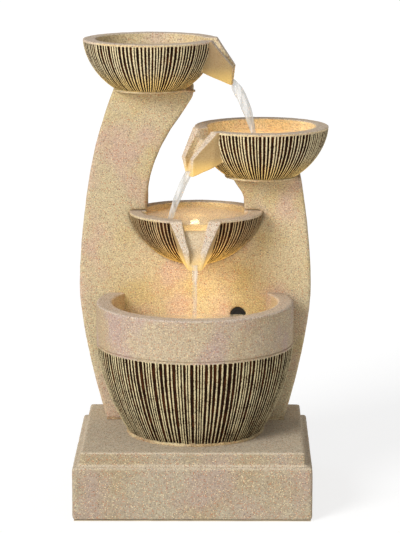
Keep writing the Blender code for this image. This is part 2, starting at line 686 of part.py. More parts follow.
def make_motor():
    y, z = PUMP_AXIS
    half = PUMP_HALF
    housing = box("pump_housing", (PUMP_BACK, y - half, z - half), (PUMP_FRONT, y + half, z + half),
                  BLACK_PLASTIC, bevel=0.0012)
    inner = half - 0.0018
    add_boolean(housing, box("motor_pocket", (PUMP_BACK - 0.005, y - inner, z - inner),
                             (PUMP_FRONT - 0.0040, y + inner, z + inner)))
    add_boolean(housing, along_x("rotor_can", 0.0095, -0.0275, PUMP_FRONT - 0.001), "UNION")
    add_boolean(housing, along_x("rotor_bore", 0.0078, -0.0258, PUMP_FRONT + 0.005))
    box("motor_end_plate", (PUMP_BACK, y - inner + GAP, z - inner + GAP),
        (PUMP_BACK + 0.0025, y + inner - GAP, z + inner - GAP), BLACK_PLASTIC)

    leg = 0.0035
    core = box("stator_core", (-0.0320, y - 0.0050, z - inner + 0.0006),
               (-0.0040, y + 0.0050, z + inner - 0.0006), STEEL)
    add_boolean(core, box("stator_gap", (-0.0280, y - 0.010, z - inner + 0.0006 + leg),
                          (0.0, y + 0.010, z + inner - 0.0006 - leg)))
    coil = box("stator_coil", (-0.0332, y - 0.0085, z - 0.0100), (-0.0276, y + 0.0085, z + 0.0100),
               COPPER, bevel=0.0012)
    add_boolean(coil, box("coil_window", (-0.0323, y - 0.0053, z - 0.020),
                          (-0.0277 + 0.002, y + 0.0053, z + 0.020)))


def make_rotor():
    """The magnet, hub and vanes turn as one on a fixed ceramic shaft."""
    impeller = along_x("impeller", ROTOR_RADIUS, -0.0230, 0.0030, MAGNET)
    add_boolean(impeller, along_x("hub", 0.0034, 0.0010, 0.0115, sides=16), "UNION")
    blades = 4
    for i in range(blades):
        vane = box(f"vane_{i}", (-0.0030, -0.0006, 0.0), (0.0030, 0.0006, VANE_RADIUS))
        vane.data.transform(Matrix.Translation((0.0, 0.0, VANE_RADIUS / 2)))
        vane.location = (0.0080, *PUMP_AXIS)
        vane.rotation_euler = (2 * math.pi * (i + 0.5) / blades, 0.0, 0.0)
        add_boolean(impeller, vane, "UNION")
    add_boolean(impeller, along_x("shaft_bore", SHAFT_RADIUS + 0.00008, -0.0300, 0.0150, sides=16))
    along_x("impeller_shaft", SHAFT_RADIUS, -0.0250, 0.0135, CERAMIC, sides=16)
    ring = [(SHAFT_RADIUS + GAP, 0.0008), (0.0030, 0.0008), (0.0030, -0.0008),
            (SHAFT_RADIUS + GAP, -0.0008)]
    facing = (0.0, math.radians(90), 0.0)
    closed_ring("rear_bush", ring, (-0.0246, *PUMP_AXIS), BLACK_RUBBER, 16, facing)
    closed_ring("front_bush", ring, (0.0129, *PUMP_AXIS), BLACK_RUBBER, 16, facing)


def make_volute():
    y, z = PUMP_AXIS
    half = PUMP_HALF - 0.001
    start = PUMP_FRONT + GAP
    volute = box("volute_cover", (start, y - half, z - half), (0.0155, y + half, z + half),
                 BLACK_PLASTIC, bevel=0.0010)
    spigot = cylinder("outlet_spigot", 0.0030, (OUTLET_X, y, z + half - 0.001),
                      (OUTLET_X, y, 0.1340), sides=20)
    add_boolean(volute, spigot, "UNION")
    add_boolean(volute, along_x("volute_hollow", 0.0112, start - 0.003, 0.0120))
    add_boolean(volute, cylinder("outlet_bore", 0.0020, (OUTLET_X, y, z + 0.005),
                                 (OUTLET_X, y, 0.1400), sides=16))
    add_boolean(volute, along_x("bush_seat", 0.0033, 0.0110, 0.0139, sides=16))
    for i in range(4):
        angle = math.pi / 4 + i * math.pi / 2
        offset = (0.0066 * math.cos(angle), 0.0066 * math.sin(angle))
        add_boolean(volute, along_x(f"intake_hole_{i}", 0.0020, 0.0100, 0.0200, sides=12,
                                    offset=offset))


def make_strainer():
    """A slotted cap that pulls off the intake, and the slider that throttles it."""
    y, z = PUMP_AXIS
    half = PUMP_HALF - 0.001
    start, end, wall = 0.0155 + GAP, 0.0275, 0.0015
    strainer = box("strainer_cover", (start, y - half, z - half), (end, y + half, z + half),
                   BLACK_PLASTIC, bevel=0.0010)
    add_boolean(strainer, box("strainer_hollow",
                              (start - 0.002, y - half + wall, z - half + wall),
                              (end - wall, y + half - wall, z + half - wall)))
    for i in range(-2, 3):
        offset = y + i * 0.0050
        add_boolean(strainer, box(f"strainer_slot_{i + 2}", (end - 0.004, offset - 0.0011, z + 0.001),
                                  (end + 0.002, offset + 0.0011, z + 0.0125)))
    add_boolean(strainer, box("throttle_window", (end - 0.004, y - 0.0050, z - 0.0085),
                              (end + 0.002, y + 0.0050, z - 0.0035)))
    for side in (-1, 1):
        near, far = sorted((y + side * 0.0066, y + side * 0.0082))
        rail = box(f"slider_rail_{(side + 1) // 2}", (end - 0.0005, near, z - 0.0150),
                   (end + 0.0020, far, z - 0.0020))
        add_boolean(strainer, rail, "UNION")

    plate = box("flow_slider", (end + GAP, y - 0.0062, z - 0.0145),
                (end + 0.0017, y + 0.0062, z - 0.0090), GREY_PLASTIC, bevel=0.0003)
    grip = box("slider_grip", (end + 0.0012, y - 0.0035, z - 0.0126),
               (end + 0.0036, y + 0.0035, z - 0.0110))
    add_boolean(plate, grip, "UNION")


def make_suction_feet():
    y, z = PUMP_AXIS
    low, high = CHAMBER_FLOOR + GAP, z - PUMP_HALF - GAP
    places = [(foot_x, foot_y) for foot_x in (-0.0310, -0.0010)
              for foot_y in (y - 0.0115, y + 0.0115)]
    for number, place in enumerate(places, start=1):
        cylinder(f"suction_foot_{number}", 0.0045, (*place, low), (*place, high), BLACK_RUBBER,
                 sides=16, end_radius=0.0022)


clear_scene()
PARTS = new_collection("tabletop_fountain")
CUTTERS = new_collection("cutters")
make_base()
make_column()
make_door()
make_bowls()
make_basin()
make_fittings()
make_lamps()
make_wiring()
make_motor()
make_rotor()
make_volute()
make_strainer()
make_suction_feet()
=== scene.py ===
"""Looks of the tabletop water fountain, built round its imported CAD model.

Metres, +Z up, +X to the right as seen from the front, +Y to the rear.
"""

import json
import math
import random

import bmesh
import bpy
import numpy as np
from mathutils import Matrix, Vector, noise


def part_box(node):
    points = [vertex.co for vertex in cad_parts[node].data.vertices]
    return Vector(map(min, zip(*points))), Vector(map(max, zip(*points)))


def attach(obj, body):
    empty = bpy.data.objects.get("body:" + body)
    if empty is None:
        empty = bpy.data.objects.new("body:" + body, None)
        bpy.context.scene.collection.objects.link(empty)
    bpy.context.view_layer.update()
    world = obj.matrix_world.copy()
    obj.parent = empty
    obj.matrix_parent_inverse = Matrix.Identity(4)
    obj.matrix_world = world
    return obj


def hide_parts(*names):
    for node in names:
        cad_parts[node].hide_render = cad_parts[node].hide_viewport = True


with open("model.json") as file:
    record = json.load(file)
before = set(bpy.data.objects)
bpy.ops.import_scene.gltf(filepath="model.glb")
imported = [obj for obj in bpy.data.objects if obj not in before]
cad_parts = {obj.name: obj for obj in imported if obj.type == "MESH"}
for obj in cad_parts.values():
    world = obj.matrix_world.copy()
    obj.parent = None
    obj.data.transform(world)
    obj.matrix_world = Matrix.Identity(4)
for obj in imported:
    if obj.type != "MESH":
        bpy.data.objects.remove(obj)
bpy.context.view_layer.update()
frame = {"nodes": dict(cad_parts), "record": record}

# ------------------------------------------------------------------ dimensions
# Bowls. A side curves in by (the depth at which it would close, its power).
BOWL_RADIUS = 0.0690
BOWL_HEIGHT = 0.0520
BOWL_INNER_RADIUS = 0.0560
BOWL_INNER_DEPTH = 0.0420
BOWL_INNER_CURVE = (0.0505, 2)
FOOT_RADIUS = 0.0370
FOOT_CURVE = (0.0619, 1.75)
ROUND_CURVE = (0.0556, 1.65)
SLEEVE_THICKNESS = 0.0040

# Each bowl's centre and the heading of its spout, in degrees from +X; the rims come from the frame
BOWL_PLACES = {"top_bowl": ((-0.0440, 0.0400), -6.5),
               "right_bowl": ((0.0700, 0.0400), 209.0),
               "middle_bowl": ((0.0026, 0.0340), 270.0)}

# Column, as (left, right) along X: the notch, the left arm's top edge, and the feet on either
# side of the basin. The cheeks of stone beside the notch are cut from what sits in it.
NOTCH_SIDES = (-0.0487, 0.0525)
LEFT_ARM_EDGE = (-0.0800, 0.0020)
CHEEK_REACH = (0.090, 0.120)
CHEEK_HEIGHTS = (0.220, 0.320)
COLUMN_FEET = {"left": (-0.0914, -0.0500), "right": (0.0530, 0.0946)}

# Spout, in a frame whose +X points out of the bowl and whose zero height is the rim
# Each section is its upper edge, then its lower edge, as (x, half width, height)
# The slant is the lean of the spout's sides, and the fall is the slope of its underside
SPOUT_HALF_WIDTH = 0.0265
SPOUT_SLANT = 0.30
SPOUT_FALL = 0.485
SPOUT_SECTIONS = [((0.0460, SPOUT_HALF_WIDTH, 0.0), (0.0460, 0.0180, -0.0284)),
                  ((0.0660, SPOUT_HALF_WIDTH, 0.0), (0.0660, 0.0151, -0.0381)),
                  ((0.0866, 0.0128, -0.0274), (0.0845, 0.0069, -0.0470))]
CHANNEL_SECTIONS = [((0.0480, 0.0185, 0.010), (0.0480, 0.0140, -0.0115)),
                    ((0.0660, 0.0155, 0.010), (0.0660, 0.0106, -0.0115)),
                    ((0.0765, 0.0127, 0.010), (0.0765, 0.0080, -0.0285)),
                    ((0.0845, 0.0090, 0.010), (0.0845, 0.0048, -0.0425)),
                    ((0.0890, 0.0075, 0.010), (0.0890, 0.0036, -0.0500))]

# Ribs cut into the bowls and the basin. A groove's depth goes from 0 at a crest to 1 at its floor.
RIM_LIP = 0.0020
BOWL_RIBS = 118
BASIN_RIBS = 146
BOWL_GROOVE = 0.0011
BASIN_GROOVE = 0.0014
BOWL_GROOVE_SHARE = 0.60
BASIN_GROOVE_SHARE = 0.64
GROOVE_WALL_SHARE = 0.20
CREST_EDGE_DEPTH = 0.12
FLOOR_EDGE_DEPTH = 0.94
RIB_WANDER = 0.00028

# Basin
BASIN_AXIS = (0.0018, -0.0090)
BASIN_RADIUS = 0.1008
BASIN_INNER_RADIUS = 0.0843
BAND_BOTTOM = 0.1630
BELLY_CURVE = (0.1387, 1.55)
BASIN_FLOOR = 0.0830
BASIN_EDGE = 0.0026
BASIN_WALL_DEPTH = 0.030
BASIN_INNER_CURVE = (0.118, 1.8)

# Painted light: the band at a rim whose upward faces are painted lighter for the light from above,
# how far below the rim the painted glow of the lamps starts and spreads, and how far below the
# base's top its upward faces are painted lighter
RIM_BAND = 0.006
LAMP_GLOW_START = 0.024
LAMP_GLOW_SPREAD = 0.022
PLINTH_LIT_TOP_DEPTH = 0.020

# Water
BOWL_WATER_DROP = 0.0100
MIDDLE_WATER_DROP = 0.0038
BASIN_WATER = 0.1815
POOL_THICKNESS = 0.0015
WATER_OVERLAP = 0.0006
RIGHT_SPLASH = (0.0630, 0.0270)
MIDDLE_SPLASH = (-0.0235, 0.0120)
BASIN_SPLASH = (0.0020, -0.0545)
STREAM_START = (0.0846, 0.0, -0.0412)
STREAM_DIP = 0.001
WAVE_HEIGHT = 0.00045
WAVE_LENGTH = 0.0085
WAVE_REACH = 0.022
RIPPLE_HEIGHT = 0.00022

# Casting detail
WEATHER_FINE_SCALE = 520.0
WEATHER_BROAD_SCALE = 95.0
BOWL_VOXEL = 0.0009
COLUMN_VOXEL = 0.0019
PLINTH_VOXEL = 0.0017
DOOR_VOXEL = 0.0008
CAST_SHARP_ANGLE = 60.0
CAD_SHARP_ANGLE = 35.0

# Studio light: a broad key from the front left and a fill, in an even white room
# The spreads are in degrees
KEY_DIRECTION = (0.573, 0.683, -0.454)
KEY_STRENGTH = 2.8
KEY_SPREAD = 26.0
FILL_DIRECTION = (0.0, 1.0, -0.08)
FILL_STRENGTH = 0.4
FILL_SPREAD = 30.0
SKY_STRENGTH = 0.42
FLOOR_GLOW = 0.74

# Lamps, and small warm lights for what they light up: name, place, power and radius
LAMP_COLOUR = (1.0, 0.78, 0.43)
LAMP_RADIUS = 0.006
BOWL_LAMP_POWERS = (("right", 0.070), ("middle", 0.028))
BASIN_LAMP_POWER = 0.030
BOUNCED_GLOWS = (("wall_glow", (0.010, -0.026, 0.202), 0.084, 0.020),
                 ("right_underside_glow", (0.024, -0.034, 0.330), 0.013, 0.008),
                 ("middle_left_glow", (-0.0210, -0.034, 0.234), 0.024, 0.008),
                 ("middle_right_glow", (0.0270, -0.034, 0.234), 0.030, 0.008),
                 ("top_underside_glow", (-0.030, -0.024, 0.412), 0.004, 0.006),
                 ("glint", (0.0015, 0.0280, 0.2955), 0.008, 0.0045))

# Camera: its place, and its turns from a level look along +Y
# In radians, to the right, down and anticlockwise
CAMERA_PLACE = (0.0358, -2.5571, 0.7312)
CAMERA_YAW = -0.01128
CAMERA_PITCH = 0.19035
CAMERA_ROLL = -0.00165
CAMERA_LENS = 171.8

COLLECTION = bpy.context.scene.collection


# ------------------------------------------------------------------ mesh helpers
def new_object(name, data):
    """An object with this mesh, light or camera, put into the scene."""
    obj = bpy.data.objects.new(name, data)
    COLLECTION.objects.link(obj)
    return obj


def mesh_from(name, points, faces):
    """A mesh from its points and the faces between them."""
    mesh = bpy.data.meshes.new(name)
    mesh.from_pydata([tuple(p) for p in points], [], faces)
    return mesh


def solid(name, points, faces, matrix=Matrix.Identity(4)):
    """A closed shape, placed by the matrix, with all its faces turned outwards."""
    mesh = mesh_from(name, points, faces)
    mesh.transform(matrix)
    bm = bmesh.new()
    bm.from_mesh(mesh)
    bmesh.ops.recalc_face_normals(bm, faces=bm.faces)
    bm.to_mesh(mesh)
    bm.free()
    return new_object(name, mesh)


def grid_faces(rows, columns, wrap_rows=False):
    """Quads between rings of points, numbered ring by ring; the columns always close up."""
    faces = []
    for row in range(rows if wrap_rows else rows - 1):
        here, there = row * columns, ((row + 1) % rows) * columns
        for i in range(columns):
            j = (i + 1) % columns
            faces.append((here + i, here + j, there + j, there + i))
    return faces


def turned(name, profile, steps, matrix=Matrix.Identity(4)):
    """A solid turned about Z from (radius, height) points that start and end on the axis."""
    rings = profile[1:-1]
    turns = [2 * math.pi * i / steps for i in range(steps)]
    points = [(radius * math.cos(turn), radius * math.sin(turn), z)
              for radius, z in rings for turn in turns]
    faces = grid_faces(len(rings), steps)
    top, bottom = len(points), len(points) + 1
    last = (len(rings) - 1) * steps
    points += [(0.0, 0.0, profile[0][1]), (0.0, 0.0, profile[-1][1])]
    for i in range(steps):
        j = (i + 1) % steps
        faces.append((top, j, i))
        faces.append((bottom, last + i, last + j))
    return solid(name, points, faces, matrix)


def swept(name, points, steps, matrix=Matrix.Identity(4)):
    """A solid through rings of points, so many to a ring, closed at its two ends."""
    faces = grid_faces(len(points) // steps, steps)
    faces += [tuple(range(steps)), tuple(range(len(points) - steps, len(points)))]
    return solid(name, points, faces, matrix)


def loft(name, sections, matrix):
    """Trapezoids, each an upper and a lower edge, joined one to the next along X."""
    points = []
    for (top_x, top_half, top), (low_x, low_half, low) in sections:
        points += [(low_x, -low_half, low), (low_x, low_half, low),
                   (top_x, top_half, top), (top_x, -top_half, top)]
    return swept(name, points, 4, matrix)


def block(name, low, high):
    """A plain cutter between two corners."""
    low, high = Vector(low), Vector(high)
    bm = bmesh.new()
    middle = Matrix.Translation((low + high) / 2)
    bmesh.ops.create_cube(bm, size=1.0, matrix=middle @ Matrix.Diagonal((*(high - low), 1.0)))
    mesh = bpy.data.meshes.new(name)
    bm.to_mesh(mesh)
    bm.free()
    return new_object(name, mesh)


def settle(obj):
    """Replaces the object's mesh by what its modifiers make of it."""
    bpy.context.view_layer.update()
    evaluated = obj.evaluated_get(bpy.context.evaluated_depsgraph_get())
    mesh = bpy.data.meshes.new_from_object(evaluated)
    obj.modifiers.clear()
    obj.data = mesh
    return obj


def combine(obj, other, operation, solver="EXACT"):
    """Cuts or joins, and then removes the other object."""
    modifier = obj.modifiers.new("combine", "BOOLEAN")
    modifier.operation = operation
    modifier.solver = solver
    modifier.object = other
    settle(obj)
    bpy.data.objects.remove(other, do_unlink=True)
    return obj


def cast(obj, voxel, passes=3):
    """Rounds every edge as on a casting, on an even mesh of small quads."""
    remesh = obj.modifiers.new("even", "REMESH")
    remesh.mode = "VOXEL"
    remesh.voxel_size = voxel
    soften = obj.modifiers.new("soften", "SMOOTH")
    soften.factor = 0.5
    soften.iterations = passes
    return settle(obj)


def vertex_array(mesh, field="co"):
    """The vertices' places, or another field of three numbers, one row each."""
    values = np.empty(len(mesh.vertices) * 3)
    mesh.vertices.foreach_get(field, values)
    return values.reshape(-1, 3)


def in_spout_frame(points, spout_frame):
    """The points, as the spout's own frame has them."""
    inverse = spout_frame.inverted()
    return points @ np.array(inverse.to_3x3()).T + np.array(inverse.to_translation())


def mark(mesh, name, domain, values):
    """Stores one number per vertex or face corner, for a material to read."""
    attribute = mesh.attributes.new(name, "FLOAT", domain)
    attribute.data.foreach_set("value", values.astype(np.float32))


def weather(obj, fine=0.00010, broad=0.00018):
    """Raises and sinks the surface a little, as on rough cast stone."""
    mesh = obj.data
    points = vertex_array(mesh)
    normals = vertex_array(mesh, "normal")
    lifts = np.array([fine * noise.noise(Vector(p) * WEATHER_FINE_SCALE)
                      + broad * noise.noise(Vector(p) * WEATHER_BROAD_SCALE) for p in points])
    points += normals * lifts[:, None]
    mesh.vertices.foreach_set("co", points.ravel())
    mesh.update()
    return obj


def smooth_step(value):
    """0 to 1 with a soft start and end, and level beyond them."""
    value = np.clip(value, 0.0, 1.0)
    return value * value * (3.0 - 2.0 * value)


def paint_light_and_shade(obj, rim, spout_frame=None):
    """Marks painted light: lighter upward faces at a rim for the light from above, painted shade on
    the spout's sides, and the lamps' painted glow low on a bowl.
    """
    mesh = obj.data
    points, normals = vertex_array(mesh), vertex_array(mesh, "normal")
    # Painted light: upward faces near the rim are marked to be painted lighter, for the light from
    # above.
    upward = smooth_step((normals[:, 2] - 0.25) / 0.5)
    near_rim = smooth_step((points[:, 2] - rim + RIM_BAND) / 0.004)
    painted_side_shade = np.zeros(len(points))
    if spout_frame:
        local = in_spout_frame(points, spout_frame)
        on_spout = np.abs(local[:, 1]) < SPOUT_HALF_WIDTH + 0.0004 + SPOUT_SLANT * local[:, 2]
        on_spout &= local[:, 0] > SPOUT_SECTIONS[0][0][0] + 0.010
        facing = normals @ np.array(spout_frame.inverted().to_3x3()).T
        # Painted shade: the spout's side faces are marked to be darkened to a golden brown.
        painted_side_shade = on_spout * smooth_step((facing[:, 1] * np.sign(local[:, 1]) - 0.45) / 0.3)
        # Painted light: on the spout, upward faces and faces that point out along it are marked
        # lighter too.
        near_rim = np.maximum(near_rim, on_spout)
        upward = np.maximum(upward, on_spout * smooth_step((facing[:, 0] - 0.45) / 0.3))
    # Painted light: the lamps' warm glow on a bowl's lower side, from so far below the rim.
    painted_lamp_glow = smooth_step((rim - points[:, 2] - LAMP_GLOW_START) / LAMP_GLOW_SPREAD) * bool(spout_frame)
    mark(mesh, "rim", "POINT", upward * near_rim)
    mark(mesh, "painted_side_shade", "POINT", painted_side_shade)
    mark(mesh, "painted_lamp_glow", "POINT", painted_lamp_glow)


def finish_piece(obj, material, replaces=None, body="root"):
    """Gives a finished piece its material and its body."""
    obj.data.materials.clear()
    obj.data.materials.append(material)
    obj.data.shade_smooth()
    obj.data.set_sharp_from_angle(angle=math.radians(CAST_SHARP_ANGLE))
    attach(obj, body)
    if replaces:
        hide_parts(replaces)
    return obj


# ------------------------------------------------------------------ materials
def srgb(red, green, blue):
    """A colour given as on a colour chart (0 to 255), in the renderer's linear values."""
    linear = [((c / 255 + 0.055) / 1.055) ** 2.4 if c > 10 else c / 255 / 12.92
              for c in (red, green, blue)]
    return (*linear, 1.0)


# Painted light: the lighter colour of upward rim faces, for the light from above.
RIM_TOP_LIGHT = srgb(212, 197, 180)

# The grains in the stone: scale, size, share of the cells and colour
GRAINS = ((780.0, 0.46, 0.22, srgb(174, 112, 80)),
          (900.0, 0.44, 0.20, srgb(226, 204, 162)),
          (840.0, 0.46, 0.16, srgb(112, 106, 104)),
          (640.0, 0.32, 0.10, srgb(92, 66, 48)))


class Finish:
    """One procedural material, built node by node."""

    def __init__(self, name, roughness, metallic=0.0):
        self.material = bpy.data.materials.new(name)
        self.material.use_nodes = True
        self.tree = self.material.node_tree
        self.shader = self.tree.nodes["Principled BSDF"]
        self.put("Roughness", roughness).put("Metallic", metallic)
        self.place = self.add("ShaderNodeTexCoord").outputs["Object"]

    def add(self, kind, sockets=None, **settings):
        """A node with its settings, and values or links for its sockets."""
        node = self.tree.nodes.new(kind)
        for key, value in settings.items():
            setattr(node, key, value)
        for key, value in (sockets or {}).items():
            self.plug(node.inputs[key], value)
        return node

    def plug(self, socket, value):
        if isinstance(value, bpy.types.NodeSocket):
            self.tree.links.new(value, socket)
        else:
            socket.default_value = value

    def noise(self, scale, detail=2.0, stretch=None):
        place = self.place
        if stretch:
            mapping = self.add("ShaderNodeMapping", {"Vector": place, "Scale": stretch})
            place = mapping.outputs["Vector"]
        sockets = {"Vector": place, "Scale": scale, "Detail": detail}
        return self.add("ShaderNodeTexNoise", sockets).outputs["Fac"]

    def fade(self, value, start, end, low=0.0, high=1.0):
        sockets = {"Value": value, "From Min": start, "From Max": end,
                   "To Min": low, "To Max": high}
        node = self.add("ShaderNodeMapRange", sockets, interpolation_type="SMOOTHSTEP")
        return node.outputs["Result"]

    def maths(self, operation, first, second):
        return self.add("ShaderNodeMath", {0: first, 1: second}, operation=operation).outputs[0]

    def mix(self, factor, first, second):
        sockets = {0: factor, 6: first, 7: second}
        return self.add("ShaderNodeMix", sockets, data_type="RGBA").outputs[2]

    def specks(self, scale, size, share):
        """Small grains: 1 on the chosen share of the cells, out to size from their centres."""
        cells = self.add("ShaderNodeTexVoronoi", {"Vector": self.place, "Scale": scale})
        parts = self.add("ShaderNodeSeparateColor", {"Color": cells.outputs["Color"]})
        chosen = self.maths("LESS_THAN", parts.outputs[0], share)
        near = self.fade(cells.outputs["Distance"], size, size * 0.6)
        return self.maths("MULTIPLY", chosen, near)

    def attribute(self, name):
        return self.add("ShaderNodeAttribute", attribute_name=name).outputs["Fac"]

    def put(self, name, value):
        """Sets or links one of the shader's own sockets."""
        self.plug(self.shader.inputs[name], value)
        return self

    def bump(self, height, distance, strength=1.0):
        sockets = {"Strength": strength, "Distance": distance, "Height": height}
        return self.put("Normal", self.add("ShaderNodeBump", sockets).outputs["Normal"])


def paint_in_grooves(finish, colour):
    """Dark brown paint, ragged at the grooves' edges, streaky, and worn thin in places."""
    groove = finish.attribute("groove")
    wobble = finish.fade(finish.noise(900.0, 3.0), 0.3, 0.7, -0.08, 0.08)
    painted = finish.fade(finish.maths("ADD", groove, wobble), 0.04, 0.20)
    streaks = finish.fade(finish.noise(260.0, 3.0, (1.0, 1.0, 0.25)), 0.42, 0.66)
    paint = finish.mix(streaks, srgb(26, 10, 1), srgb(64, 32, 9))
    worn = finish.fade(finish.noise(340.0, 2.0, (1.0, 1.0, 0.4)), 0.62, 0.78, 0.0, 0.14)
    paint = finish.mix(worn, paint, srgb(150, 112, 58))
    return finish.mix(painted, colour, paint)


def stone_finish(name, light, warm, pink, lit_top=RIM_TOP_LIGHT, crest=None):
    """Speckled sandstone-effect resin: broad warm and pink clouds under fine grains.

    The argument after pink is the colour painted on its rims' upward faces, for the light from
    above. crest is the colour of its ribs, if it has any.
    """
    finish = Finish(name, 0.9)
    finish.put("Specular IOR Level", 0.10)
    clouds = finish.fade(finish.noise(16.0, 3.0), 0.42, 0.62)
    blush = finish.fade(finish.noise(23.0, 3.0, (1.0, 1.2, 0.8)), 0.45, 0.68)
    colour = finish.mix(clouds, light, warm)
    colour = finish.mix(blush, colour, pink)
    # Painted light: upward faces at a rim are mixed towards the lighter rim colour, for the light
    # from above.
    colour = finish.mix(finish.maths("MULTIPLY", finish.attribute("rim"), 0.85), colour, lit_top)
    sand = finish.noise(760.0, 3.0)
    colour = finish.mix(finish.fade(sand, 0.38, 0.60, 0.42, 0.0), colour, srgb(116, 92, 66))
    for scale, size, share, grain in GRAINS:
        colour = finish.mix(finish.specks(scale, size, share), colour, grain)
    height = finish.maths("ADD", sand, finish.noise(1900.0, 2.0))
    if crest:
        on_crest = finish.maths("MULTIPLY", finish.attribute("crest"), 0.80)
        colour = finish.mix(on_crest, colour, crest)
        # Painted shade: the spout's side faces are darkened to a golden brown.
        painted_side_shade = finish.maths("MULTIPLY", finish.attribute("painted_side_shade"), 0.80)
        colour = finish.mix(painted_side_shade, colour, srgb(153, 126, 84))
        # Painted light: the lamps' warm glow, mixed in as gold on a bowl's lower side.
        painted_lamp_glow = finish.maths("MULTIPLY", finish.attribute("painted_lamp_glow"), 0.75)
        colour = finish.mix(painted_lamp_glow, colour, srgb(240, 202, 118))
        colour = paint_in_grooves(finish, colour)
    return finish.put("Base Color", colour).bump(height, 0.00022, 0.7).material


def plastic_finish(name, colour, worn, roughness):
    """Moulded plastic or rubber with a fine sparked texture."""
    finish = Finish(name, roughness)
    patches = finish.fade(finish.noise(60.0, 3.0), 0.35, 0.7)
    grain = finish.noise(2400.0, 2.0)
    finish.put("Base Color", finish.mix(patches, colour, worn))
    finish.put("Roughness", finish.fade(patches, 0.0, 1.0, roughness - 0.06, roughness + 0.08))
    return finish.bump(grain, 0.00006, 0.6).material


def metal_finish(name, colour, tint, roughness, lines):
    """Metal with fine parallel lines, such as stacked plates or turns of wire."""
    finish = Finish(name, roughness, 1.0)
    layers = finish.noise(lines, 1.0, (0.05, 1.0, 0.05))
    finish.put("Base Color", finish.mix(finish.fade(layers, 0.4, 0.6), colour, tint))
    return finish.bump(layers, 0.0001, 0.7).material


def clear_finish(name, colour, alpha, roughness):
    """Clear plastic that has gone slightly cloudy in places."""
    finish = Finish(name, roughness)
    cloudy = finish.fade(finish.noise(90.0, 3.0), 0.35, 0.7)
    finish.put("Base Color", finish.mix(cloudy, colour, srgb(214, 214, 200)))
    finish.put("Alpha", alpha)
    finish.put("IOR", 1.45)
    return finish.bump(finish.noise(800.0, 1.0), 0.00003, 0.4).material


def lens_finish():
    """A lamp's frosted lens, lit from inside by a warm diode."""
    finish = Finish("lamp_lens_lit", 0.25)
    frost = finish.noise(700.0, 2.0)
    patches = finish.fade(frost, 0.3, 0.7)
    finish.put("Base Color", finish.mix(patches, srgb(255, 232, 190), srgb(255, 214, 140)))
    finish.put("Emission Color", srgb(255, 206, 120))
    finish.put("Emission Strength", 9.0)
    return finish.bump(frost, 0.00005, 0.5).material


def water_finish(name, colour, deep, alpha):
    """Shallow water over stone, a little deeper in tone in places."""
    finish = Finish(name, 0.05)
    drift = finish.fade(finish.noise(45.0, 3.0), 0.35, 0.7)
    finish.put("Base Color", finish.mix(drift, colour, deep))
    finish.put("Alpha", alpha)
    finish.put("IOR", 1.333)
    return finish.bump(finish.noise(120.0, 1.0), 0.0004, 0.18).material


def stream_finish(name, clearest, whitest):
    """Falling water: clear, with white and amber streaks along the fall."""
    finish = Finish(name, 0.08)
    streaks = finish.fade(finish.noise(260.0, 1.0, (1.0, 1.0, 0.07)), 0.30, 0.66)
    amber = finish.fade(finish.noise(190.0, 1.0, (1.0, 1.0, 0.10)), 0.52, 0.72, 0.0, 0.40)
    colour = finish.mix(streaks, srgb(196, 196, 192), srgb(226, 226, 224))
    finish.put("Base Color", finish.mix(amber, colour, srgb(196, 170, 124)))
    finish.put("Alpha", finish.fade(streaks, 0.0, 1.0, clearest, whitest))
    finish.put("IOR", 1.333)
    return finish.bump(finish.noise(220.0, 1.0, (1.0, 1.0, 0.15)), 0.0004, 0.4).material


MATERIALS = {
    "column_stone": stone_finish(
        "column_sandstone", srgb(192, 177, 143), srgb(192, 173, 126), srgb(192, 166, 145)),
    "plinth_stone": stone_finish(
        "plinth_sandstone", srgb(167, 156, 134), srgb(163, 148, 120), srgb(165, 148, 132),
        srgb(212, 198, 174)),
    "ribbed_bowl_stone": stone_finish(
        "bowl_sandstone", srgb(222, 204, 162), srgb(218, 192, 144), srgb(212, 190, 166),
        RIM_TOP_LIGHT, srgb(220, 204, 162)),
    "ribbed_basin_stone": stone_finish(
        "basin_sandstone", srgb(183, 167, 140), srgb(177, 157, 126), srgb(177, 155, 143),
        RIM_TOP_LIGHT, srgb(206, 192, 148)),
    "mortar": stone_finish("mortar", srgb(206, 188, 148), srgb(192, 166, 120), srgb(166, 138, 104)),
    "door_stone": stone_finish(
        "door_sandstone", srgb(196, 174, 138), srgb(188, 160, 120), srgb(188, 160, 136)),
    "foam_pad": plastic_finish("foam", srgb(192, 178, 152), srgb(176, 162, 138), 0.9),
    "black_plastic": plastic_finish("black_moulding", srgb(15, 15, 16), srgb(24, 24, 24), 0.60),
    "grey_plastic": plastic_finish("grey_moulding", srgb(132, 134, 134), srgb(150, 151, 150), 0.45),
    "clear_tube": clear_finish("clear_tube_wall", srgb(226, 230, 224), 0.45, 0.12),
    "lamp_lens": lens_finish(),
    "black_rubber": plastic_finish("rubber", srgb(11, 11, 11), srgb(19, 18, 18), 0.9),
    "wire_sheath": plastic_finish("sheath", srgb(26, 26, 27), srgb(38, 38, 38), 0.5),
    "ferrite": plastic_finish("sintered_ferrite", srgb(70, 66, 64), srgb(92, 88, 85), 0.6),
    "ceramic_shaft": plastic_finish(
        "ground_ceramic", srgb(232, 228, 216), srgb(218, 214, 204), 0.25),
    "lamination_steel": metal_finish(
        "steel_plates", srgb(176, 178, 180), srgb(120, 122, 124), 0.38, 2600.0),
    "copper_winding": metal_finish(
        "enamelled_copper", srgb(206, 128, 78), srgb(150, 82, 44), 0.32, 1500.0),
}
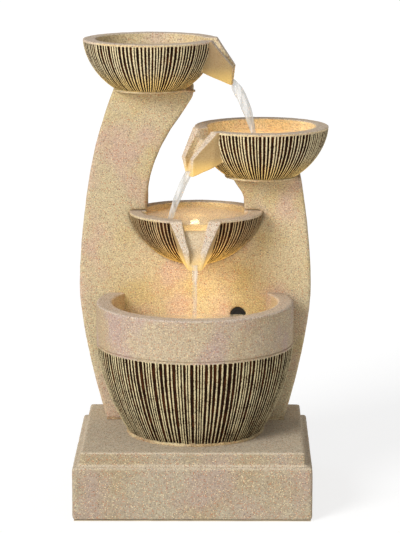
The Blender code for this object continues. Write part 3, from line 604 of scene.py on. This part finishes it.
# Painted shade: a darker copy of the bowl stone for the middle bowl, which sits in shade.
SHADED_BOWL = stone_finish(
    "middle_bowl_sandstone_in_shade", srgb(214, 198, 158), srgb(206, 184, 138), srgb(202, 180, 156),
    RIM_TOP_LIGHT, srgb(180, 152, 108))
WATER = water_finish("still_water", srgb(238, 228, 204), srgb(226, 212, 182), 0.30)
FILM = water_finish("running_film", srgb(246, 226, 182), srgb(232, 208, 156), 0.30)
STREAM = stream_finish("falling_water", 0.38, 0.66)
FAINT_STREAM = stream_finish("thin_falling_water", 0.10, 0.34)


# ------------------------------------------------------------------ ribs
def side_radius(radius, curve, drop):
    """Radius of a bowl's side at a depth below where it starts to curve in."""
    depth, power = curve
    return radius * np.sqrt(np.maximum(1.0 - (np.maximum(drop, 0.0) / depth) ** power, 0.0))


def rib_columns(count, groove_share, spread, seed):
    """Angles round a bowl and how deep each lies: 0 on a rib's crest, 1 on a groove's floor.

    The ribs are cut by hand, so their widths and the grooves' widths are uneven.
    """
    rng = random.Random(seed)
    ribs = [(1 - groove_share) * rng.uniform(1 - spread / 2, 1 + spread / 2) for _ in range(count)]
    grooves = [groove_share * rng.uniform(1 - spread, 1 + spread) for _ in range(count)]
    scale = 2 * math.pi / (sum(ribs) + sum(grooves))
    angles, depths = [], []
    angle = 0.0
    for rib, groove in zip(ribs, grooves):
        rib, groove = rib * scale, groove * scale
        wall = groove * GROOVE_WALL_SHARE
        angles += [angle, angle + rib / 2, angle + rib,
                   angle + rib + wall, angle + rib + groove / 2, angle + rib + groove - wall]
        depths += [CREST_EDGE_DEPTH, 0.0, CREST_EDGE_DEPTH, FLOOR_EDGE_DEPTH, 1.0, FLOOR_EDGE_DEPTH]
        angle += rib + groove
    return np.array(angles), np.array(depths)


def profile_normals(radii, heights):
    """Outward unit normals of a profile that runs down the outside of a bowl."""
    slope_r, slope_z = np.gradient(radii), np.gradient(heights)
    length = np.hypot(slope_r, slope_z)
    return -slope_z / length, slope_r / length


def ribbed_points(radii, heights, ramp, columns, groove, seed):
    """Rings of points down a ribbed side. ramp says, row by row, how much of the groove is cut."""
    angles, depths = columns
    normal_r, normal_z = profile_normals(radii, heights)
    rings = []
    for row, (radius, height) in enumerate(zip(radii, heights)):
        turn = angles.copy()
        cut = groove * ramp[row] * depths
        for i in range(len(angles)):
            rib = i // 3
            wander = noise.noise(Vector((rib * 7.3, height * 55.0, seed)))
            turn[i] += RIB_WANDER / max(radius, 0.01) * wander
            cut[i] *= 1.0 + 0.25 * noise.noise(Vector((rib * 3.1, height * 90.0, seed + 9.0)))
        out = radius - cut * normal_r[row]
        up = height - cut * normal_z[row]
        rings.append(np.stack([out * np.cos(turn), out * np.sin(turn), up], axis=1))
    return rings


def plain_ring(angles, radius, height):
    """One level ring of points at the ribs' angles."""
    level = np.full_like(angles, height)
    return np.stack([radius * np.cos(angles), radius * np.sin(angles), level], axis=1)


def paint_grooves(obj, axis, rim, radius, curve, groove, ribbed_from, ribbed_to, spout_frame=None):
    """Marks the ribbed faces, and each of their corners with its depth below the plain side."""
    mesh = obj.data
    drops = np.linspace(0.0, curve[0] * 0.9995, 900)
    side = np.stack([side_radius(radius, curve, drops), rim - drops], axis=1)
    batch = 4000

    def flat(points):
        radii = np.hypot(points[:, 0] - axis[0], points[:, 1] - axis[1])
        return np.stack([radii, points[:, 2]], axis=1)

    def depth_below(points):
        depths = np.empty(len(points))
        for start in range(0, len(points), batch):
            part = points[start:start + batch]
            gaps = np.hypot(part[:, None, 0] - side[None, :, 0],
                            part[:, None, 1] - side[None, :, 1])
            nearest = gaps.argmin(axis=1)
            sign = np.where(part[:, 0] > side[nearest, 0], -1, 1)
            depths[start:start + batch] = gaps[np.arange(len(part)), nearest] * sign
        return depths

    vertex_depth = depth_below(flat(vertex_array(mesh)))
    centres = np.empty(len(mesh.polygons) * 3)
    mesh.polygons.foreach_get("center", centres)
    centres = centres.reshape(-1, 3)
    face_depth = depth_below(flat(centres))
    drop = rim - centres[:, 2]
    ribbed = (face_depth > -0.0003) & (face_depth < groove * 1.45)
    ribbed &= (drop > ribbed_from) & (drop < ribbed_to)
    if spout_frame:
        local = in_spout_frame(centres, spout_frame)
        on_spout = np.abs(local[:, 1]) < SPOUT_HALF_WIDTH + 0.0002 + SPOUT_SLANT * local[:, 2]
        root_x, _, root_z = SPOUT_SECTIONS[0][1]
        above_underside = local[:, 2] > root_z - SPOUT_FALL * (local[:, 0] - root_x) - 0.0004
        ribbed &= ~(on_spout & above_underside & (local[:, 0] > root_x))
    loop_vertex = np.empty(len(mesh.loops), dtype=np.int32)
    mesh.loops.foreach_get("vertex_index", loop_vertex)
    sizes = np.empty(len(mesh.polygons), dtype=np.int32)
    mesh.polygons.foreach_get("loop_total", sizes)
    crest = np.repeat(ribbed, sizes)
    values = np.clip(vertex_depth[loop_vertex] / groove, 0.0, 1.0) * crest
    mark(mesh, "groove", "CORNER", values)
    mark(mesh, "crest", "CORNER", crest)


# ------------------------------------------------------------------ bowls
def bowl_frame(node):
    """Rim height and the matrix from the bowl's own frame to the shared one."""
    (x, y), heading = BOWL_PLACES[node]
    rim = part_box(node)[1][2]
    return rim, Matrix.Translation((x, y, rim)) @ Matrix.Rotation(math.radians(heading), 4, "Z")


def ribbed_sleeve(name, matrix, curve, stop, seed):
    """A closed shell with the ribs on its outside; its inside lies hidden in the bowl's wall."""
    first = RIM_LIP + np.array([0.0, 0.0003, 0.0009, 0.0018])
    rest = first[-1] + (stop - first[-1]) * np.sin(np.pi / 2 * np.linspace(0, 1, 24)[1:])
    drops = np.concatenate([first, rest])
    radii = side_radius(BOWL_RADIUS, curve, drops)
    ramp = smooth_step((drops - RIM_LIP) / 0.0012) * np.clip(radii / 0.022, 0.15, 1.0)
    columns = rib_columns(BOWL_RIBS, BOWL_GROOVE_SHARE, 0.50, seed)
    rings = ribbed_points(radii, -drops, ramp, columns, BOWL_GROOVE, float(seed))
    normal_r, normal_z = profile_normals(radii, -drops)
    angles = columns[0]
    for row in range(len(drops) - 1, -1, -1):
        out = max(radii[row] - SLEEVE_THICKNESS * normal_r[row], 0.0015)
        up = -drops[row] - SLEEVE_THICKNESS * normal_z[row]
        rings.append(plain_ring(angles, out, up))
    faces = grid_faces(len(rings), len(angles), wrap_rows=True)
    return solid(name, np.concatenate(rings), faces, matrix)


def core_profile(curve, stop, footed):
    """The bowl's body: a plain lip at the rim, and below it a side just under the grooves."""
    inset = BOWL_GROOVE + 0.0005
    drops = RIM_LIP + 0.0004 + (stop - RIM_LIP) * np.sin(np.pi / 2 * np.linspace(0.02, 1, 14))
    side = [(float(side_radius(BOWL_RADIUS, curve, d)) - inset, -float(d)) for d in drops]
    side = [(max(radius, 0.001), height) for radius, height in side]
    bottom = -BOWL_HEIGHT if footed else -curve[0] + inset
    foot = [(FOOT_RADIUS, bottom)] if footed else []
    lip = [(BOWL_RADIUS, 0.0), (BOWL_RADIUS, -RIM_LIP)]
    return [(0.0, 0.0), *lip, *side, *foot, (0.0, bottom)]


def inner_profile():
    """The hollow of a bowl, from above its rim down to its floor."""
    drops = BOWL_INNER_DEPTH * np.sin(np.pi / 2 * np.linspace(0, 1, 16))
    side = [(float(side_radius(BOWL_INNER_RADIUS, BOWL_INNER_CURVE, d)), -float(d)) for d in drops]
    return [(0.0, 0.010), (BOWL_INNER_RADIUS, 0.010), *side, (0.0, -BOWL_INNER_DEPTH)]


def make_bowl(node, seed):
    """A bowl with its spout: cast, hollowed, and ribbed by the sleeve that is joined to it."""
    rim, matrix = bowl_frame(node)
    footed = node != "middle_bowl"
    curve = FOOT_CURVE if footed else ROUND_CURVE
    stop = BOWL_HEIGHT - 0.0015 if footed else curve[0] - 0.0006
    bowl = turned(node + "_cast", core_profile(curve, stop, footed), 144, matrix)
    combine(bowl, loft("spout", SPOUT_SECTIONS, matrix), "UNION")
    inside = turned("inside", inner_profile(), 144, matrix)
    if not footed:
        cut_cheeks(inside)
    combine(bowl, inside, "DIFFERENCE")
    combine(bowl, loft("channel", CHANNEL_SECTIONS, matrix), "DIFFERENCE")
    cast(bowl, BOWL_VOXEL)
    weather(bowl)
    sleeve = ribbed_sleeve("sleeve", matrix, curve, stop, seed)
    combine(sleeve, loft("channel", CHANNEL_SECTIONS, matrix), "DIFFERENCE")
    combine(bowl, sleeve, "UNION", "MANIFOLD")
    centre = BOWL_PLACES[node][0]
    paint_grooves(bowl, centre, rim, BOWL_RADIUS, curve, BOWL_GROOVE,
                  RIM_LIP + 0.0002, stop + 0.0004, matrix)
    paint_light_and_shade(bowl, rim, matrix)
    # The middle bowl gets the darker copy of the stone, a painted shade.
    material = MATERIALS["ribbed_bowl_stone"] if footed else SHADED_BOWL
    return finish_piece(bowl, material, node)


# ------------------------------------------------------------------ basin
def basin_outside(rim, bottom):
    """Radii and heights down the outside, and how much of the groove is cut at each."""
    belly = BAND_BOTTOM - bottom
    outer = []
    for i in range(5):
        turn = math.pi / 2 * i / 4
        outer.append((BASIN_RADIUS - BASIN_EDGE + BASIN_EDGE * math.sin(turn),
                      rim - BASIN_EDGE + BASIN_EDGE * math.cos(turn), 0.0))
    for height in np.linspace(rim - BASIN_EDGE - 0.002, BAND_BOTTOM + 0.0006, 15):
        outer.append((BASIN_RADIUS, float(height), 0.0))
    outer += [(BASIN_RADIUS - 0.0009, BAND_BOTTOM + 0.0002, 0.0),
              (BASIN_RADIUS - 0.0012, BAND_BOTTOM - 0.0004, 0.0),
              (BASIN_RADIUS - 0.0003, BAND_BOTTOM - 0.0008, 0.0)]
    drops = [0.0014, 0.0024, 0.0030, 0.0038, 0.0050]
    drops += list(drops[-1] + (belly - drops[-1]) * np.sin(np.pi / 2 * np.linspace(0, 1, 34)[1:]))
    for drop in drops:
        cut = float(smooth_step((drop - 0.0024) / 0.0012))
        outer.append((float(side_radius(BASIN_RADIUS, BELLY_CURVE, drop)), BAND_BOTTOM - drop, cut))
    return (np.array(part) for part in zip(*outer))


def basin_inside(rim, bottom):
    """Radii and heights from the middle of the underside up the inside to the rim."""
    inner = [(0.002, bottom), (0.002, BASIN_FLOOR)]
    wall_bottom = rim - BASIN_WALL_DEPTH
    for share in np.linspace(1.0, 0.0, 16):
        drop = (wall_bottom - BASIN_FLOOR) * math.sin(math.pi / 2 * share)
        radius = float(side_radius(BASIN_INNER_RADIUS, BASIN_INNER_CURVE, drop))
        inner.append((radius, wall_bottom - drop))
    for height in np.linspace(wall_bottom, rim - BASIN_EDGE, 10)[1:]:
        inner.append((BASIN_INNER_RADIUS, float(height)))
    for i in range(1, 5):
        turn = math.pi / 2 * i / 4
        inner.append((BASIN_INNER_RADIUS + BASIN_EDGE * (1 - math.cos(turn)),
                      rim - BASIN_EDGE + BASIN_EDGE * math.sin(turn)))
    for radius in np.linspace(BASIN_INNER_RADIUS + BASIN_EDGE, BASIN_RADIUS - BASIN_EDGE, 6)[1:-1]:
        inner.append((float(radius), rim))
    return inner


def make_basin():
    """The basin in one piece: ribbed belly, plain band, rounded rim and smooth inside."""
    bottom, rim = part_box("basin")[0][2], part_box("basin")[1][2]
    columns = rib_columns(BASIN_RIBS, BASIN_GROOVE_SHARE, 0.55, 11)
    angles = columns[0]
    radii, heights, ramp = basin_outside(rim, bottom)
    rings = ribbed_points(radii, heights, ramp, columns, BASIN_GROOVE, 3.0)
    rings += [plain_ring(angles, radius, height) for radius, height in basin_inside(rim, bottom)]
    points = np.concatenate(rings)
    points[:, :2] += BASIN_AXIS
    basin = solid("basin_cast", points, grid_faces(len(rings), len(angles), wrap_rows=True))
    weather(basin, 0.00005, 0.00010)
    cut_flat_back(basin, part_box("basin")[1][1])
    paint_grooves(basin, BASIN_AXIS, BAND_BOTTOM, BASIN_RADIUS, BELLY_CURVE, BASIN_GROOVE,
                  0.0022, BAND_BOTTOM - bottom)
    paint_light_and_shade(basin, rim)
    return finish_piece(basin, MATERIALS["ribbed_basin_stone"], "basin")


def cut_flat_back(obj, depth):
    """Cuts off what lies behind a depth and closes the cut."""
    bm = bmesh.new()
    bm.from_mesh(obj.data)
    geometry = [*bm.verts, *bm.edges, *bm.faces]
    bmesh.ops.bisect_plane(bm, geom=geometry, dist=0.000001, plane_co=(0.0, depth, 0.0),
                           plane_no=(0.0, 1.0, 0.0), clear_outer=True)
    open_edges = [edge for edge in bm.edges if edge.is_boundary]
    bmesh.ops.triangle_fill(bm, edges=open_edges, use_beauty=True)
    bmesh.ops.recalc_face_normals(bm, faces=bm.faces)
    bm.to_mesh(obj.data)
    bm.free()


def cut_cheeks(obj):
    """Cuts off what would reach into the column on either side of the notch."""
    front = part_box("column")[0][1]
    left, right = NOTCH_SIDES
    side, back = CHEEK_REACH
    low, high = CHEEK_HEIGHTS
    combine(obj, block("left_cheek", (-side, front, low), (left, back, high)), "DIFFERENCE")
    combine(obj, block("right_cheek", (right, front, low), (side, back, high)), "DIFFERENCE")


# ------------------------------------------------------------------ column, plinth and door
def cast_copy(node, name, voxel, passes):
    """A casting with the CAD node's shape, its edges rounded and its surface rough."""
    source = frame["nodes"][node]
    obj = new_object(name, source.data.copy())
    obj.data.transform(source.matrix_world)
    bm = bmesh.new()
    bm.from_mesh(obj.data)
    bmesh.ops.remove_doubles(bm, verts=bm.verts, dist=0.00001)
    bm.to_mesh(obj.data)
    bm.free()
    cast(obj, voxel, passes)
    return weather(obj, 0.00010, 0.00022)


def make_structure():
    """The column, the base with its top faces painted lighter for the light from above, and the
    service door.
    """
    column = cast_copy("column", "column_cast", COLUMN_VOXEL, 4)
    finish_piece(column, MATERIALS["column_stone"], "column")
    plinth = cast_copy("base_plinth", "plinth_cast", PLINTH_VOXEL, 2)
    # Painted light: the base's upward faces near its top are marked to be painted lighter, for the
    # light from above.
    paint_light_and_shade(plinth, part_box("base_plinth")[1][2] - PLINTH_LIT_TOP_DEPTH)
    finish_piece(plinth, MATERIALS["plinth_stone"], "base_plinth")
    door = cast_copy("rear_access_door", "door_cast", DOOR_VOXEL, 2)
    finish_piece(door, MATERIALS["door_stone"], "rear_access_door", body="door")


def bead(name, route, radius, seed):
    """A ragged seam of mortar along a route of points."""
    rows, steps = len(route), 10
    points = []
    for row, place in enumerate(route):
        here = Vector(place)
        ahead = Vector(route[min(row + 1, rows - 1)]) - Vector(route[max(row - 1, 0)])
        side = ahead.cross(Vector((0.0, 0.0, 1.0))).normalized()
        up = side.cross(ahead).normalized()
        for i in range(steps):
            turn = 2 * math.pi * i / steps
            around = Vector((math.cos(turn), math.sin(turn), seed))
            swell = 1.0 + 0.80 * noise.noise(here * 260.0 + around)
            swell *= 1.0 + 0.45 * noise.noise(here * 90.0 + Vector((seed, 0.0, 0.0)))
            points.append(here + radius * swell * (math.cos(turn) * side + math.sin(turn) * up))
    return finish_piece(swept(name, points, steps), MATERIALS["mortar"])


def arc(centre, radius, height, start, end, count):
    """Points along an arc, its ends in degrees from +X."""
    turns = [math.radians(start + (end - start) * i / (count - 1)) for i in range(count)]
    return [(centre[0] + radius * math.cos(turn), centre[1] + radius * math.sin(turn), height)
            for turn in turns]


def level_line(ends, depth, height, count):
    """Points along X from one end to the other."""
    start, stop = ends
    return [(start + (stop - start) * i / (count - 1), depth, height) for i in range(count)]


def make_seams():
    """The mortar where the castings are glued together."""
    step_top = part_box("base_plinth")[1][2]
    basin_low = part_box("basin")[0][2]
    foot = float(side_radius(BASIN_RADIUS, BELLY_CURVE, BAND_BOTTOM - basin_low))
    round_basin = arc(BASIN_AXIS, foot + 0.0008, step_top + 0.0008, 157, 383, 320)
    bead("basin_seam", round_basin, 0.0019, 2.0)
    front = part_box("column")[0][1]
    arms = (("top_bowl", "left_arm_seam", 5.0), ("right_bowl", "right_arm_seam", 7.0))
    for node, name, seed in arms:
        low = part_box(node)[0][2]
        round_foot = arc(BOWL_PLACES[node][0], FOOT_RADIUS - 0.0001, low, 0, 360, 200)
        bead(name, round_foot, 0.0009, seed)
    for side, ends in COLUMN_FEET.items():
        along_foot = level_line(ends, front + 0.0002, step_top + 0.0006, 70)
        bead(f"column_{side}_seam", along_foot, 0.0014, 9.0)
    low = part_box("top_bowl")[0][2]
    along_edge = level_line(LEFT_ARM_EDGE, front + 0.0004, low - 0.0012, 140)
    bead("left_arm_edge_seam", along_edge, 0.0013, 6.0)


# ------------------------------------------------------------------ water
def pool(name, centre, height, radius, splash):
    """A closed sheet of water with rings running out from where the stream falls in."""
    rings, steps = 44, 120
    top, bottom = [], []
    for ring in range(1, rings + 1):
        out = radius * ring / rings
        for i in range(steps):
            turn = 2 * math.pi * i / steps
            x, y = centre[0] + out * math.cos(turn), centre[1] + out * math.sin(turn)
            gap = math.hypot(x - splash[0], y - splash[1])
            wave = WAVE_HEIGHT * math.sin(gap * 2 * math.pi / WAVE_LENGTH)
            wave *= math.exp(-gap / WAVE_REACH)
            wave += RIPPLE_HEIGHT * noise.noise(Vector((x * 70, y * 70, height)))
            top.append((x, y, height + wave))
            bottom.append((x, y, height - POOL_THICKNESS))
    faces = grid_faces(rings, steps)
    count = len(top)
    faces += [tuple(count + i for i in reversed(face)) for face in grid_faces(rings, steps)]
    last = count - steps
    for i in range(steps):
        j = (i + 1) % steps
        faces.append((last + i, last + j, count + last + j, count + last + i))
    points = [*top, *bottom, (*centre, height), (*centre, height - POOL_THICKNESS)]
    for i in range(steps):
        j = (i + 1) % steps
        faces.append((2 * count, i, j))
        faces.append((2 * count + 1, count + j, count + i))
    return finish_piece(solid(name, points, faces), WATER)


def chute(name, matrix, drop):
    """The film of water that runs from the pool, so far below the rim, down the spout's channel."""
    stations, across = 44, 14
    start, end = 0.052, 0.0848
    floors = [low for _, low in CHANNEL_SECTIONS]
    xs = [low[0] for low in floors]
    pooled = -drop - floors[0][2]
    film_places = [start, 0.059, 0.063, 0.067, 0.072, end]
    film_depths = [pooled, pooled * 0.96, pooled * 0.80, pooled * 0.42 + 0.0004, 0.0010, 0.0018]
    points = []
    for row in range(stations):
        x = start + (end - start) * row / (stations - 1)
        half = float(np.interp(x, xs, [low[1] for low in floors])) + 0.0004
        half += 0.2 * float(np.interp(x, film_places, film_depths))
        floor = float(np.interp(x, xs, [low[2] for low in floors]))
        film = float(np.interp(x, film_places, film_depths))
        for i in range(across):
            y = half * (2 * i / (across - 1) - 1)
            ripple = 0.0003 * noise.noise(Vector((x * 260, y * 420, 5.0)))
            points.append((x, y, floor + film + ripple))
        for i in range(across):
            y = half * (1 - 2 * i / (across - 1))
            points.append((x, y, floor - 0.0004))
    return finish_piece(swept(name, points, 2 * across, matrix), FILM)


def stream(name, start, end, bow, widths, seed, material):
    """A falling stream: its path bows from start to end, and its width follows widths."""
    start, end = Vector(start), Vector(end)
    rows, steps = 72, 28
    points = []
    stations = np.linspace(0.0, 1.0, len(widths))
    for row in range(rows):
        share = row / (rows - 1)
        centre = start.lerp(end, share)
        centre.z = start.z + (end.z - start.z) * (share * (1 - bow) + share * share * bow)
        half = float(np.interp(share, stations, widths)) / 2
        twist = 2.2 * share + seed
        for i in range(steps):
            turn = 2 * math.pi * i / steps
            around = Vector((math.cos(turn) * 1.6, math.sin(turn) * 1.6, seed + share * 5.0))
            fold = 1.0 + 0.22 * noise.noise(around)
            fold += 0.10 * math.sin(5 * turn + twist * 3)
            x = half * fold * math.cos(turn)
            y = 0.62 * half * fold * math.sin(turn)
            points.append((centre.x + x, centre.y + y, centre.z))
    return finish_piece(swept(name, points, steps), material)


def make_water():
    """The four pools, the films in the spouts' channels and the three falling streams."""
    top_rim, top_frame = bowl_frame("top_bowl")
    right_rim, right_frame = bowl_frame("right_bowl")
    middle_rim, middle_frame = bowl_frame("middle_bowl")
    right_water = right_rim - BOWL_WATER_DROP
    middle_water = middle_rim - MIDDLE_WATER_DROP
    inner = float(side_radius(BOWL_INNER_RADIUS, BOWL_INNER_CURVE, BOWL_WATER_DROP)) + WATER_OVERLAP
    low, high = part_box("inlet_nozzle")
    nozzle_place = ((low[0] + high[0]) / 2, (low[1] + high[1]) / 2)
    pool("top_pool", BOWL_PLACES["top_bowl"][0], top_rim - BOWL_WATER_DROP, inner, nozzle_place)
    pool("right_pool", BOWL_PLACES["right_bowl"][0], right_water, inner, RIGHT_SPLASH)
    middle_pool = pool("middle_pool", BOWL_PLACES["middle_bowl"][0], middle_water,
                       BOWL_INNER_RADIUS + 0.0004, MIDDLE_SPLASH)
    cut_cheeks(middle_pool)
    basin_pool = pool("basin_pool_water", BASIN_AXIS, BASIN_WATER,
                      BASIN_INNER_RADIUS + WATER_OVERLAP, BASIN_SPLASH)
    cut_flat_back(basin_pool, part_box("basin")[1][1])
    chute("top_chute_water", top_frame, BOWL_WATER_DROP)
    chute("right_chute_water", right_frame, BOWL_WATER_DROP)
    chute("middle_chute_water", middle_frame, MIDDLE_WATER_DROP)
    tip = Vector(STREAM_START)
    stream("top_stream", top_frame @ tip, (*RIGHT_SPLASH, right_water - STREAM_DIP),
           0.42, (0.0046, 0.0098, 0.0112, 0.0098, 0.0072, 0.0046), 1.0, STREAM)
    stream("right_stream", right_frame @ tip, (*MIDDLE_SPLASH, middle_water - STREAM_DIP),
           0.25, (0.0068, 0.0086, 0.0080, 0.0070, 0.0056), 4.0, STREAM)
    stream("middle_stream", middle_frame @ tip, (*BASIN_SPLASH, BASIN_WATER - STREAM_DIP),
           0.5, (0.0060, 0.0052, 0.0046, 0.0040, 0.0044), 8.0, FAINT_STREAM)


def make_port_shade_disc():
    """A black disc pushed into the port in the basin's rear wall: painted shade standing in for the
    dark inside of the port.
    """
    low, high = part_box("return_port_ring")
    middle = [(a + b) / 2 for a, b in zip(low, high)]
    radius = (high[0] - low[0]) / 2 - 0.0012
    place = Matrix.Translation((middle[0], low[1] + 0.0016, middle[2]))
    place = place @ Matrix.Rotation(math.pi / 2, 4, "X")
    profile = [(0.0, 0.0010), (radius * 0.6, 0.0009), (radius * 0.95, 0.0005),
               (radius, 0.0), (radius, -0.0020), (0.0, -0.0020)]
    shade_disc = turned("port_shade_disc", profile, 48, place)
    finish_piece(shade_disc, MATERIALS["black_rubber"])


# ------------------------------------------------------------------ carried-over CAD nodes
def dress_frame():
    """Gives every CAD node the detailed material of its slot."""
    for part in frame["record"]["subparts"]:
        node = frame["nodes"][part["node"]]
        node.data.materials.clear()
        node.data.materials.append(MATERIALS[part["material_slot"]])
        node.data.shade_smooth()
        node.data.set_sharp_from_angle(angle=math.radians(CAD_SHARP_ANGLE))


# ------------------------------------------------------------------ studio
def lamp_light(name, place, power, size=LAMP_RADIUS):
    """A small warm light."""
    light = bpy.data.lights.new(name, "POINT")
    light.energy = power
    light.color = LAMP_COLOUR
    light.shadow_soft_size = size
    new_object(name, light).location = place


def sun_light(name, direction, strength, spread):
    """A distant light that shines along a direction."""
    light = bpy.data.lights.new(name, "SUN")
    light.energy = strength
    light.angle = math.radians(spread)
    turn = Vector(direction).to_track_quat("-Z", "Y").to_euler()
    new_object(name, light).rotation_euler = turn


def make_lights():
    """The lamps' glow and its bounces, and a broad key, a fill and an even white room."""
    for tag, power in BOWL_LAMP_POWERS:
        low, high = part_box(f"{tag}_lamp_lens")
        place = ((low[0] + high[0]) / 2, (low[1] + high[1]) / 2, high[2] + 0.010)
        lamp_light(f"{tag}_glow", place, power)
    low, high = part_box("basin_lamp_lens")
    place = ((low[0] + high[0]) / 2, low[1] - 0.012, high[2] + 0.004)
    lamp_light("basin_glow", place, BASIN_LAMP_POWER)
    for name, place, power, size in BOUNCED_GLOWS:
        lamp_light(name, place, power, size)
    sun_light("key", KEY_DIRECTION, KEY_STRENGTH, KEY_SPREAD)
    sun_light("fill", FILL_DIRECTION, FILL_STRENGTH, FILL_SPREAD)
    world = bpy.data.worlds.new("studio")
    bpy.context.scene.world = world
    world.use_nodes = True
    background = world.node_tree.nodes["Background"]
    background.inputs["Color"].default_value = (1.0, 1.0, 1.0, 1.0)
    background.inputs["Strength"].default_value = SKY_STRENGTH


def make_floor():
    """A plain floor, lit a little from within so that it stays white."""
    finish = Finish("studio_floor", 0.9)
    patches = finish.noise(3.0, 2.0)
    finish.put("Base Color", finish.mix(patches, srgb(150, 150, 150), srgb(154, 154, 154)))
    finish.put("Emission Color", (1.0, 1.0, 1.0, 1.0))
    finish.put("Emission Strength", FLOOR_GLOW)
    half = 20.0
    corners = [(-half, -half, 0.0), (half, -half, 0.0), (half, half, 0.0), (-half, half, 0.0)]
    mesh = mesh_from("studio_floor", corners, [(0, 1, 2, 3)])
    mesh.materials.append(finish.material)
    floor = new_object("studio_floor", mesh)


def make_camera():
    """The camera in front of the object, a little above it and far off."""
    reach = math.cos(CAMERA_PITCH)
    forward = Vector((math.sin(CAMERA_YAW) * reach, math.cos(CAMERA_YAW) * reach,
                      -math.sin(CAMERA_PITCH)))
    level = Vector((math.cos(CAMERA_YAW), -math.sin(CAMERA_YAW), 0.0))
    upright = level.cross(forward)
    right = math.cos(CAMERA_ROLL) * level + math.sin(CAMERA_ROLL) * upright
    up = -math.sin(CAMERA_ROLL) * level + math.cos(CAMERA_ROLL) * upright
    data = bpy.data.cameras.new("camera")
    data.sensor_width = 36.0
    data.lens = CAMERA_LENS
    data.clip_end = 60.0
    camera = new_object("camera", data)
    turn = Matrix((right, up, -forward)).transposed().to_4x4()
    camera.matrix_world = Matrix.Translation(CAMERA_PLACE) @ turn
    bpy.context.scene.camera = camera


bpy.context.scene.view_settings.view_transform = "Standard"
dress_frame()
make_bowl("top_bowl", 21)
make_bowl("right_bowl", 34)
make_bowl("middle_bowl", 47)
make_basin()
make_structure()
make_seams()
make_port_shade_disc()
make_water()
make_lights()
make_floor()
make_camera()
